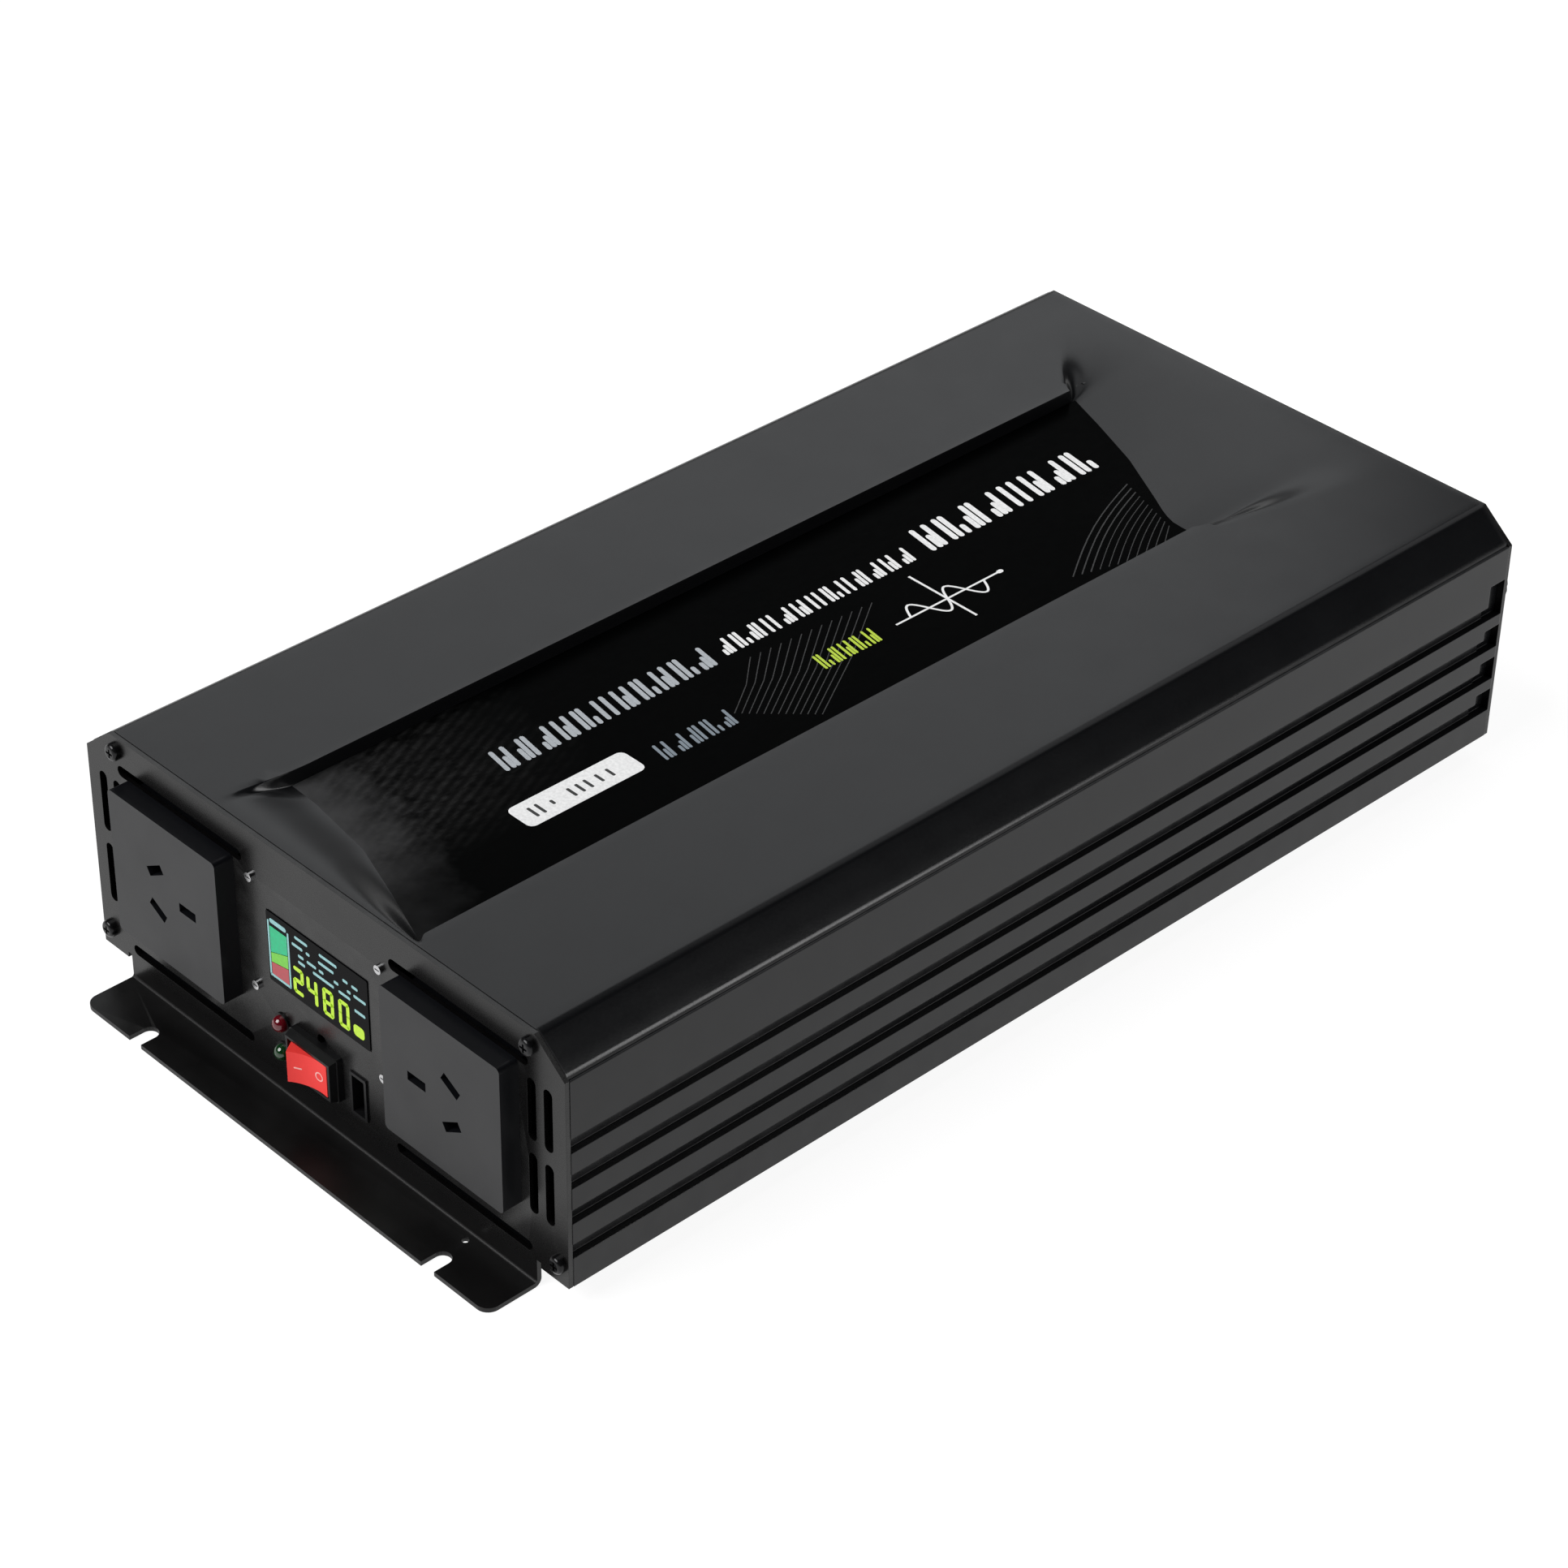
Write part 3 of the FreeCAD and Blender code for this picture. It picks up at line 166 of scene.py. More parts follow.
def finish(name, color, roughness, metallic=0.0, shade=0.75, grain=900.0, grain_depth=0.00002,
           stretch=(1, 1, 1), roughness_spread=0.06, coat=0.0, specular=0.5):
    """Surface with slow colour changes, finer changes of gloss and a fine grain."""
    tree, shader = new_material(name)
    still = object_coordinates(tree)
    stretched = object_coordinates(tree, stretch)
    slow = noise(tree, still, 22.0)
    fine = noise(tree, stretched, grain, 2.0)
    dark = tuple(channel * shade for channel in color)
    mottled = mix_values(tree, slow, fine, 0.6)
    tree.links.new(blend_colors(tree, spread(tree, mottled, 0, 1), dark, color), shader.inputs["Base Color"])
    gloss = mix_values(tree, noise(tree, still, 60.0), fine, 0.5)
    tree.links.new(spread(tree, gloss, roughness - roughness_spread, roughness + roughness_spread),
                   shader.inputs["Roughness"])
    bump(tree, shader, fine, grain_depth)
    shader.inputs["Metallic"].default_value = metallic
    shader.inputs["Coat Weight"].default_value = coat
    shader.inputs["Coat Roughness"].default_value = 0.08
    shader.inputs["Specular IOR Level"].default_value = specular


def wear_and_edge_highlights(name, wear_and_highlight_color):
    """Lighten the convex edges of a painted surface a little, in patches: part wear, part a painted highlight
    along the edges.
    """
    tree, shader = shader_of(name)
    paint = shader.inputs["Base Color"].links[0].from_socket
    geometry = add(tree, "ShaderNodeNewGeometry")
    edge = spread(tree, geometry.outputs["Pointiness"], 0, 0.5, 0.52, 0.6)
    patches = spread(tree, noise(tree, object_coordinates(tree), 150.0), 0.2, 1)
    patchy_wear_and_highlight = math_node(tree, "MULTIPLY", edge, patches)
    tree.links.new(blend_colors(tree, patchy_wear_and_highlight, paint, wear_and_highlight_color), shader.inputs["Base Color"])


def matte_foot(name):
    """Make the foot of a panel, below 7 mm, a little rougher than the rest."""
    tree, shader = shader_of(name)
    roughness = shader.inputs["Roughness"]
    parts = add(tree, "ShaderNodeSeparateXYZ")
    tree.links.new(object_coordinates(tree), parts.inputs["Vector"])
    extra = spread(tree, parts.outputs["Z"], 0.16, 0.0, 3 * MM, 7 * MM)
    tree.links.new(math_node(tree, "ADD", roughness.links[0].from_socket, extra), roughness)


# How far the print's front edge bends back with the square of the distance from the left wall, per metre.
FILM_BOW = 3.2


def printed_label():
    """Black film that fades, away from its front, from a painted grey that stands in for the paint's
    reflected sheen, through a woven print to black.
    """
    tree, shader = new_material("label_gloss")
    vector = object_coordinates(tree)
    parts = add(tree, "ShaderNodeSeparateXYZ")
    tree.links.new(vector, parts.inputs["Vector"])
    x, y = parts.outputs["X"], parts.outputs["Y"]
    from_left = math_node(tree, "SUBTRACT", x, RECESS_LEFT * MM)
    bow = math_node(tree, "MULTIPLY", math_node(tree, "MULTIPLY", from_left, from_left), FILM_BOW)
    past_edge = math_node(tree, "ADD", math_node(tree, "SUBTRACT", y, (FRONT + FRONT_EDGE[0][1]) * MM), bow)
    patches = noise(tree, vector, 120.0)
    ragged = math_node(tree, "ADD", past_edge, spread(tree, patches, -6 * MM, 6 * MM))
    # grey: share of painted grey near the film's front, a painted stand-in for the sheen the paint reflects
    # there.
    grey = math_node(tree, "MULTIPLY", spread(tree, ragged, 1, 0, -4 * MM, 22 * MM),
                     spread(tree, x, 1, 0.25, -6 * MM, 20 * MM))
    weave = math_node(tree, "MULTIPLY", spread(tree, ragged, 1, 0, 12 * MM, 75 * MM),
                      spread(tree, x, 1, 0, -4 * MM, 16 * MM))
    threads = add(tree, "ShaderNodeTexWave", wave_type="BANDS", bands_direction="DIAGONAL")
    threads.inputs["Scale"].default_value = 190.0
    threads.inputs["Distortion"].default_value = 2.5
    threads.inputs["Detail Scale"].default_value = 40.0
    tree.links.new(object_coordinates(tree, (1, 0.45, 1)), threads.inputs["Vector"])
    fleck = noise(tree, object_coordinates(tree, (1, 0.5, 1)), 520.0, 2.0)
    woven = math_node(tree, "MULTIPLY", spread(tree, threads.outputs["Fac"], 0.35, 1, 0.2, 0.9),
                      spread(tree, fleck, 0.1, 1))
    black = (0.0007, 0.0008, 0.0008)
    printed = blend_colors(tree, math_node(tree, "MULTIPLY", woven, weave), black, (0.022, 0.022, 0.022))
    # The grey (0.045) is painted sheen: the lit paint's reflected look, given as colour.
    tree.links.new(blend_colors(tree, grey, printed, (0.045, 0.045, 0.046)), shader.inputs["Base Color"])
    tree.links.new(spread(tree, fleck, 0.3, 0.36), shader.inputs["Roughness"])
    bump(tree, shader, woven, 0.00002, 0.3)
    shader.inputs["Specular IOR Level"].default_value = 0.005


def ink(name, color, strength=0.0):
    """Printed or lit ink with a slight unevenness."""
    tree, shader = new_material(name)
    speck = noise(tree, object_coordinates(tree), 1200.0, 2.0)
    paler = tuple(channel * 0.82 for channel in color)
    uneven = blend_colors(tree, spread(tree, speck, 0, 1), paler, color)
    tree.links.new(uneven, shader.inputs["Base Color"])
    tree.links.new(spread(tree, speck, 0.4, 0.55), shader.inputs["Roughness"])
    if strength:
        tree.links.new(uneven, shader.inputs["Emission Color"])
        shader.inputs["Emission Strength"].default_value = strength


def circuit_board():
    """Green solder mask, paler over the copper tracks beneath it."""
    tree, shader = new_material("board_green")
    vector = object_coordinates(tree)
    cells = add(tree, "ShaderNodeTexVoronoi", feature="DISTANCE_TO_EDGE", distance="CHEBYCHEV")
    cells.inputs["Scale"].default_value = 160.0
    tree.links.new(vector, cells.inputs["Vector"])
    track = spread(tree, cells.outputs["Distance"], 1, 0, 0.02, 0.06)
    patches = spread(tree, noise(tree, vector, 40.0), 0, 1)
    mask = blend_colors(tree, patches, (0.006, 0.05, 0.02), (0.01, 0.08, 0.035))
    tree.links.new(blend_colors(tree, track, mask, (0.03, 0.16, 0.07)), shader.inputs["Base Color"])
    tree.links.new(spread(tree, noise(tree, vector, 300.0), 0.3, 0.45), shader.inputs["Roughness"])
    bump(tree, shader, track, 0.00003, 0.5)


def clear_lamp(name, color):
    """Coloured epoxy of an indicator lamp."""
    finish(name, color, 0.12, grain=200.0, grain_depth=0.00001, coat=0.6)
    shader_of(name)[1].inputs["Transmission Weight"].default_value = 0.35


def make_materials():
    """All finishes: first those named after the record's slots, then the inks."""
    finish("case_paint", (0.0034, 0.0036, 0.0042), 0.24, grain=1500.0, grain_depth=0.000006,
           roughness_spread=0.03, specular=0.24)
    # Lighter convex edges on the case: part wear, part a painted edge highlight.
    wear_and_edge_highlights("case_paint", (0.03, 0.03, 0.031))
    finish("panel_paint", (0.0010, 0.0008, 0.0009), 0.27, grain=2200.0, grain_depth=0.000012,
           roughness_spread=0.04, specular=0.3)
    # Lighter convex edges on the panel: part wear, part a painted edge highlight.
    wear_and_edge_highlights("panel_paint", (0.03, 0.03, 0.03))
    matte_foot("panel_paint")
    printed_label()
    circuit_board()
    finish("socket_plastic", (0.0045, 0.0048, 0.0062), 0.36, grain=2600.0, grain_depth=0.000015,
           specular=0.31)
    finish("black_plastic", (0.0035, 0.0035, 0.004), 0.38, grain=1800.0, grain_depth=0.00002, specular=0.3)
    finish("rocker_red", (0.84, 0.045, 0.04), 0.34, shade=0.9, grain=1500.0, grain_depth=0.00001,
           specular=0.2)
    clear_lamp("lamp_red", (0.16, 0.003, 0.01))
    clear_lamp("lamp_green", (0.004, 0.05, 0.01))
    finish("lcd_glass", (0.0015, 0.0015, 0.002), 0.16, grain=60.0, grain_depth=0.000002,
           roughness_spread=0.03, specular=0.03)
    finish("screw_black", (0.012, 0.012, 0.013), 0.22, metallic=0.6, grain=1200.0, grain_depth=0.00001)
    finish("steel_bright", (0.62, 0.62, 0.63), 0.2, metallic=1.0, grain=1400.0, grain_depth=0.00001)
    finish("brass", (0.72, 0.5, 0.2), 0.28, metallic=1.0, grain=900.0)
    finish("copper", (0.78, 0.36, 0.2), 0.3, metallic=1.0, grain=900.0)
    finish("aluminium", (0.55, 0.56, 0.57), 0.35, metallic=1.0, grain=1200.0, stretch=(1, 0.05, 1))
    finish("ferrite", (0.03, 0.03, 0.032), 0.6, grain=1600.0, grain_depth=0.00005)
    finish("tape_yellow", (0.7, 0.45, 0.05), 0.35, grain=500.0)
    finish("can_sleeve", (0.02, 0.035, 0.09), 0.3, grain=700.0)
    finish("terminal_red", (0.5, 0.02, 0.018), 0.32, grain=1500.0)
    finish("wire_brown", (0.12, 0.045, 0.02), 0.45, grain=900.0)
    finish("wire_blue", (0.03, 0.09, 0.42), 0.45, grain=900.0)
    finish("wire_green", (0.07, 0.35, 0.06), 0.45, grain=900.0)
    finish("wire_red", (0.45, 0.015, 0.015), 0.45, grain=900.0)
    ink("ink_white", (0.88, 0.88, 0.88))
    ink("ink_grey", (0.42, 0.45, 0.48))
    ink("ink_slate", (0.2, 0.24, 0.28))
    ink("ink_dim", (0.009, 0.009, 0.009))
    ink("ink_faint", (0.0055, 0.0055, 0.0055))
    ink("ink_black", (0.01, 0.01, 0.01))
    ink("rocker_print", (0.9, 0.45, 0.42))
    ink("ink_lime", (0.5, 0.68, 0.03))
    ink("lit_lime", (0.36, 0.55, 0.025), 0.5)
    ink("lit_teal", (0.01, 0.33, 0.15), 0.5)
    ink("lit_green", (0.12, 0.4, 0.04), 0.5)
    ink("lit_red", (0.32, 0.05, 0.06), 0.4)
    ink("lit_pale", (0.2, 0.38, 0.39), 0.45)


# ---------------------------------------------------------------- mesh helpers

CORNER_STEPS = 4
PRINT_GAP = 0.02
GLASS_GAP = 0.01


def steps(start, end, count):
    """Evenly spaced values from start up to, and without, end."""
    return [start + (end - start) * index / count for index in range(count)]


def between(start, end, share):
    """Point a share of the way from one point to another."""
    return start[0] + (end[0] - start[0]) * share, start[1] + (end[1] - start[1]) * share


def piece(name, shape, slot, body="root", smooth=False):
    """Object from a bmesh, in millimetres, riding on a body."""
    mesh = bpy.data.meshes.new(name)
    shape.normal_update()
    bmesh.ops.recalc_face_normals(shape, faces=shape.faces)
    shape.to_mesh(mesh)
    shape.free()
    for vertex in mesh.vertices:
        vertex.co *= MM
    if smooth:
        mesh.shade_smooth()
    result = bpy.data.objects.new(name, mesh)
    bpy.context.scene.collection.objects.link(result)
    result.data.materials.append(MATERIALS[slot])
    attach(result, body)
    return result


def slab(shape, outline, place, thickness):
    """Extrude an outline into a closed slab. place turns (u, v, w) into a point, w along the thickness."""
    low = [shape.verts.new(place(u, v, 0.0)) for u, v in outline]
    high = [shape.verts.new(place(u, v, thickness)) for u, v in outline]
    count = len(outline)
    shape.faces.new(low)
    shape.faces.new(list(reversed(high)))
    for index in range(count):
        following = (index + 1) % count
        shape.faces.new([low[index], low[following], high[following], high[index]])


def rounded_rectangle(u, v, width, height, radius):
    """Outline of a rectangle with round corners, centred on (u, v)."""
    points = []
    radius = min(radius, width / 2 - 1e-4, height / 2 - 1e-4)
    for quarter, (su, sv) in enumerate(((1, 1), (-1, 1), (-1, -1), (1, -1))):
        centre_u = u + su * (width / 2 - radius)
        centre_v = v + sv * (height / 2 - radius)
        for step in range(CORNER_STEPS + 1):
            angle = math.pi / 2 * (quarter + step / CORNER_STEPS)
            points.append((centre_u + radius * math.cos(angle), centre_v + radius * math.sin(angle)))
    return points


def ribbon(points, width, cap=0):
    """Outline of an even stroke along a line of points, with round ends where cap gives their steps."""
    left, right = [], []
    for index, point in enumerate(points):
        before = points[max(index - 1, 0)]
        after = points[min(index + 1, len(points) - 1)]
        du, dv = after[0] - before[0], after[1] - before[1]
        length = math.hypot(du, dv)
        nu, nv = -dv / length * width / 2, du / length * width / 2
        left.append((point[0] + nu, point[1] + nv))
        right.append((point[0] - nu, point[1] - nv))
    ends = []
    for centre, inner in ((points[-1], points[-2]), (points[0], points[1])):
        heading = math.atan2(centre[1] - inner[1], centre[0] - inner[0])
        arc = []
        for step in range(1, cap + 1):
            angle = heading + math.pi / 2 - math.pi * step / (cap + 1)
            arc.append((centre[0] + width / 2 * math.cos(angle), centre[1] + width / 2 * math.sin(angle)))
        ends.append(arc)
    return left + ends[0] + right[::-1] + ends[1]


def band(shape, outer, inner, place, thickness):
    """Closed flat ring between two outlines with the same number of points."""
    loops = []
    for outline in (outer, inner):
        for level in (0.0, thickness):
            loops.append([shape.verts.new(place(u, v, level)) for u, v in outline])
    outer_low, outer_high, inner_low, inner_high = loops
    count = len(outer)
    for index in range(count):
        following = (index + 1) % count
        for first, second in ((outer_low, outer_high), (outer_high, inner_high), (inner_high, inner_low),
                              (inner_low, outer_low)):
            shape.faces.new([first[index], first[following], second[following], second[index]])


def on_label(u, v, w):
    """Point on the label: u across, v along the case from its front face, w above the film."""
    return Vector((u, FRONT + v, LABEL_TOP + PRINT_GAP + w))


def on_window(u, v, w):
    """Point on the display's window: u to the right, v up from the case's bottom, w out of the glass."""
    return Vector((u, WINDOW_FACE - GLASS_GAP - w, BOTTOM + v))


# ---------------------------------------------------------------- cover and label

# The recess between its two walls, and the shoulders beside the flat top.
RECESS_LEFT = -41.0
RECESS_RIGHT = 39.3
RECESS_DEPTH = 5.0
FLAT_HALF = 90.3
SHOULDER_DROP = 9.6
UPPER_RADIUS = 4.5
LOWER_RADIUS = 2.8
STEEPEST = math.radians(78)

# The label's ends, as (across, distance from the front face).
FRONT_EDGE = (
    (RECESS_LEFT, 25.5), (-30.0, 25.0), (-4.8, 21.3), (15.3, 14.5), (33.4, 7.8), (RECESS_RIGHT, 5.4),
)
REAR_EDGE = (
    (RECESS_LEFT, 337.7), (-24.9, 331.7), (-4.8, 323.6), (15.3, 313.0), (23.4, 308.5), (28.4, 306.4),
    (34.0, 306.0), (RECESS_RIGHT, 306.0),
)

# The recess starts a lip behind the front face. The label covers the last part of the front ramp and the
# first of the rear one. The walls lean by their reach, and flare out towards both ends.
LIP = 2.0
BARE_SHARE = 0.79
REAR_TUCK = 2.0
RAMP_END = 377.0
RAMP_POWER = 1.8
WALL_REACH = 0.25
FRONT_FLARE = 30.0
FRONT_FLARE_SHARE = 0.3
FRONT_FLARE_POWER = 1.6
REAR_FLARE_LEFT = 46.0
REAR_FLARE_RIGHT = 20.0
REAR_FLARE_POWER = 0.85

# Rows of the cover's mesh from front to back: one at the front edge, then front ramp, floor and rear ramp.
FRONT_ROWS = 14
FLOOR_ROWS = 10
RAMP_ROWS = 34
RAMP_ROW_POWER = 1.5
FIRST_RAMP_ROW = 1 + FRONT_ROWS + FLOOR_ROWS

# Columns across it, for the shoulder's three stretches, the flat, the recess's wall and its floor.
UPPER_COLUMNS = 8
SLOPE_COLUMNS = 3
LOWER_COLUMNS = 6
FLAT_COLUMNS = 16
WALL_COLUMNS = 9
FLOOR_COLUMNS = 30

# Underside, and the tongues that reach down inside the tray's walls, as (across, height above the top).
COVER_THICKNESS = 2.5
FLOOR_THICKNESS = 2.0
CHANNEL_HALF = 44
LINING_HALF = COVER_HIGH[0] - 3.95
FLAT_LINING_HALF = FLAT_HALF - 0.9
TONGUE = ((94.2, -15.7), (97.8, -15.7), (97.8, -8.9), (94.2, -6.7))
SHARP_ANGLE = math.radians(28)


def along(edge, x):
    """Distance from the front face at which an edge crosses x."""
    for (x0, y0), (x1, y1) in zip(edge, edge[1:]):
        if x <= x1:
            share = max(0.0, (x - x0) / (x1 - x0))
            return y0 + share * (y1 - y0)
    return edge[-1][1]


def smooth_step(value):
    """Ease from 0 to 1."""
    value = min(1.0, max(0.0, value))
    return value * value * (3 - 2 * value)


def stations(x):
    """Each row's distance from the front face at one x, the recess's depth there, and its share of flare."""
    front_floor = LIP + (along(FRONT_EDGE, x) - LIP) / BARE_SHARE
    rear_floor = along(REAR_EDGE, x) - REAR_TUCK
    result = [(COVER_LOW[1] - FRONT, 0.0, 1.0)]
    for share in steps(0, 1, FRONT_ROWS):
        v = LIP + (front_floor - LIP) * share
        result.append((v, RECESS_DEPTH * smooth_step(share), FRONT_FLARE_SHARE * (1 - share)))
    for share in steps(0, 1, FLOOR_ROWS):
        result.append((front_floor + (rear_floor - front_floor) * share, RECESS_DEPTH, 0.0))
    for part in steps(0, 1, RAMP_ROWS):
        share = part ** RAMP_ROW_POWER
        v = rear_floor + (RAMP_END - rear_floor) * share
        result.append((v, RECESS_DEPTH * (1 - share) ** RAMP_POWER, share))
    result.append((RAMP_END, 0.0, 1.0))
    result.append((COVER_HIGH[1] - FRONT, 0.0, 1.0))
    return result


def shoulder_profile():
    """Right shoulder from the flat top down to the tray, with both of its corners rounded."""
    slope = math.atan2(SHOULDER_DROP, COVER_HIGH[0] - FLAT_HALF)
    points = []
    reach = UPPER_RADIUS * math.tan(slope / 2)
    for share in steps(0, 1, UPPER_COLUMNS):
        angle = slope * share
        x = FLAT_HALF - reach + UPPER_RADIUS * math.sin(angle)
        points.append((x, -UPPER_RADIUS * (1 - math.cos(angle))))
    start = FLAT_HALF + reach * math.cos(slope), -reach * math.sin(slope)
    points.append(start)
    turn = STEEPEST - slope
    lower_z = -SHOULDER_DROP + LOWER_RADIUS * (math.cos(slope) - math.cos(slope + turn))
    lower_x = FLAT_HALF - lower_z / math.tan(slope)
    for share in steps(0, 1, SLOPE_COLUMNS)[1:]:
        points.append(between(start, (lower_x, lower_z), share))
    for share in steps(0, 1, LOWER_COLUMNS) + [1.0]:
        angle = slope + turn * share
        points.append((lower_x + LOWER_RADIUS * (math.sin(angle) - math.sin(slope)),
                       lower_z - LOWER_RADIUS * (math.cos(slope) - math.cos(angle))))
    return points


def cover_side(row, shoulder, wall, rear_flare):
    """One row of the cover's upper side from the tray in to one wall of the recess."""
    side = math.copysign(1, wall)
    v, depth, blend = stations(wall)[row]
    if row < FIRST_RAMP_ROW:
        reach = WALL_REACH + FRONT_FLARE * blend ** FRONT_FLARE_POWER
    else:
        reach = WALL_REACH + rear_flare * blend ** REAR_FLARE_POWER
    points = [(side * x, v, z) for x, z in reversed(shoulder)]
    edge_of_top = shoulder[0][0]
    for share in steps(0, 1, FLAT_COLUMNS)[1:] + [1.0]:
        points.append((side * (edge_of_top + (abs(wall) + reach - edge_of_top) * share), v, 0.0))
    for share in steps(0, 1, WALL_COLUMNS)[1:]:
        points.append((wall + side * reach * (1 - share), v, -depth * smooth_step(share)))
    return points


def cover_section(row, shoulder):
    """One row of the cover's upper side from left to right, as (across, distance from the front, height)."""
    points = cover_side(row, shoulder, RECESS_LEFT, REAR_FLARE_LEFT)
    for share in steps(0, 1, FLOOR_COLUMNS) + [1.0]:
        x = RECESS_LEFT + (RECESS_RIGHT - RECESS_LEFT) * share
        v, depth, _ = stations(x)[row]
        points.append((x, v, -depth))
    return points + cover_side(row, shoulder, RECESS_RIGHT, REAR_FLARE_RIGHT)[::-1]


def lining_point(x, v):
    """Point of the cover's underside below a point of its upper side."""
    inner = min(max(x, -LINING_HALF), LINING_HALF)
    ceiling = -COVER_THICKNESS
    if abs(inner) > FLAT_LINING_HALF:
        fall = (SHOULDER_DROP - COVER_THICKNESS) / (LINING_HALF - FLAT_LINING_HALF)
        ceiling -= (abs(inner) - FLAT_LINING_HALF) * fall
    if abs(inner) < CHANNEL_HALF:
        ceiling = -RECESS_DEPTH - FLOOR_THICKNESS
    return inner, FRONT + v, TOP + ceiling


def cover_shell():
    """Cover with rounded shoulders and the soft-ended recess, as one closed shell."""
    shape = bmesh.new()
    shoulder = shoulder_profile()
    top_sheet, under = [], []
    for row in range(len(stations(0))):
        section = cover_section(row, shoulder)
        top_sheet.append([shape.verts.new((x, FRONT + v, TOP + z)) for x, v, z in section])
        under.append([shape.verts.new(lining_point(x, v)) for x, v, _ in section])
    for sheet, flip in ((top_sheet, False), (under, True)):
        for row, following in zip(sheet, sheet[1:]):
            for a, b, c, d in zip(row, row[1:], following[1:], following):
                shape.faces.new((a, d, c, b) if flip else (a, b, c, d))
    for row, lining in ((top_sheet[0], under[0]), (top_sheet[-1], under[-1])):
        for a, b, c, d in zip(row, row[1:], lining[1:], lining):
            shape.faces.new((a, b, c, d))
    for index in (0, -1):
        for row, following, lining, next_lining in zip(top_sheet, top_sheet[1:], under, under[1:]):
            shape.faces.new((row[index], following[index], next_lining[index], lining[index]))
    length = COVER_HIGH[1] - COVER_LOW[1]
    for side in (-1, 1):
        outline = [(side * x, z) for x, z in TONGUE]
        slab(shape, outline, lambda u, v, w: Vector((u, COVER_LOW[1] + w, TOP + v)), length)
    shell = piece("cover_shell", shape, "case_paint", smooth=True)
    shell.data.set_sharp_from_angle(angle=SHARP_ANGLE)
    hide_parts("top_cover")


def label_film():
    """Film on the recess floor that runs a little way under the ramps at both ends."""
    shape = bmesh.new()
    gap = 0.05
    tuck = 1.2
    columns = 24
    left, right = RECESS_LEFT + gap, RECESS_RIGHT - gap
    xs = steps(left, right, columns) + [right]
    front = [(x, along(FRONT_EDGE, x) - tuck) for x in xs]
    rear = [(x, along(REAR_EDGE, x) + tuck / 2) for x in reversed(xs)]
    low = TOP - RECESS_DEPTH + 0.01
    slab(shape, front + rear, lambda u, v, w: Vector((u, FRONT + v, low + w)), LABEL_TOP - low)
    film = piece("label_film", shape, "label_gloss")
    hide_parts("label_plate")


# ---------------------------------------------------------------- printed graphics on the label

INK = 0.05

# Groups of bars, each bar as (offset, its middle, its length) in shares of the group's pitch and height.
BAR_GROUPS = (
    ((-0.26, 0, 1), (0.26, 0, 1)),
    ((-0.3, 0, 1), (0, -0.2, 0.6), (0.3, 0, 1)),
    ((-0.3, 0, 1), (0.02, 0, 1), (0.34, -0.3, 0.4)),
    ((-0.32, -0.2, 0.6), (0, 0, 1), (0.32, 0, 1)),
    ((-0.3, -0.3, 0.4), (0, -0.2, 0.6), (0.3, 0, 1)),
)
BAR_SPREAD = 0.86
BAR_LEAN = 0.16

# Rows of bars: name, ink, extent across the case, extent along it, number of groups, bar width, seed.
BAR_ROWS = (
    ("label_marks_large", "ink_white", (-20.9, -7.8), (241.1, 315.6), 8, 1.9, 3),
    ("label_marks_medium", "ink_white", (-15.9, -7.8), (157.0, 236.0), 13, 1.15, 5),
    ("label_marks_soft", "ink_grey", (-16.9, -6.3), (73.0, 154.5), 11, 1.5, 8),
    ("label_marks_lime", "ink_lime", (8.8, 16.3), (173.6, 197.8), 5, 0.85, 13),
    ("label_marks_small", "ink_slate", (11.3, 19.3), (109.2, 138.4), 5, 1.0, 21),
)


def bar_row(name, ink_slot, across, lengthways, groups, weight, seed):
    """Row of plain parallel bars, long and short, in small groups."""
    picker = random.Random(seed)
    shape = bmesh.new()
    tall = across[1] - across[0]
    middle = (across[0] + across[1]) / 2
    pitch = (lengthways[1] - lengthways[0]) / groups
    last = None
    for number in range(groups):
        group = picker.choice([entry for entry in BAR_GROUPS if entry is not last])
        last = group
        for offset, centre, length in group:
            v = lengthways[0] + pitch * (number + 0.5 + offset * BAR_SPREAD)
            half = tall * length / 2 - weight / 2
            u = middle - centre * tall
            swing = half * BAR_LEAN
            slab(shape, ribbon([(u + half, v - swing), (u - half, v + swing)], weight, 3), on_label, INK)
    bars = piece(name, shape, ink_slot)


def sine_icon():
    """Two periods of a sine wave on crossed axes."""
    shape = bmesh.new()
    axis_u, start, end = 13.3, 204.8, 248.1
    cross_v, cross_start, cross_end = 226.0, -2.8, 25.4
    wave_start, wave_length, amplitude, count = 210.9, 30.2, 5.2, 48
    slab(shape, ribbon([(axis_u, start), (axis_u, end)], 0.7), on_label, INK)
    slab(shape, ribbon([(cross_start, cross_v), (cross_end, cross_v)], 0.8), on_label, INK)
    wave = []
    for step in range(count + 1):
        v = wave_start + wave_length * step / count
        wave.append((axis_u - amplitude * math.sin(4 * math.pi * step / count), v))
    slab(shape, ribbon(wave, 0.75), lambda u, v, w: on_label(u, v, w + 0.02), INK)
    tip = rounded_rectangle(axis_u, end, 1.6, 2.4, 0.8)
    slab(shape, tip, lambda u, v, w: on_label(u, v, w + 0.01), INK)
    icon = piece("sine_icon", shape, "ink_white")


# Bars on the plaque: distance from the front face, length.
PLAQUE_BARS = ((66, 5.0), (68.6, 5.0), (73, 2.2), (80, 4.4), (83, 4.4), (86, 4.4), (90, 4.0), (94, 4.0))


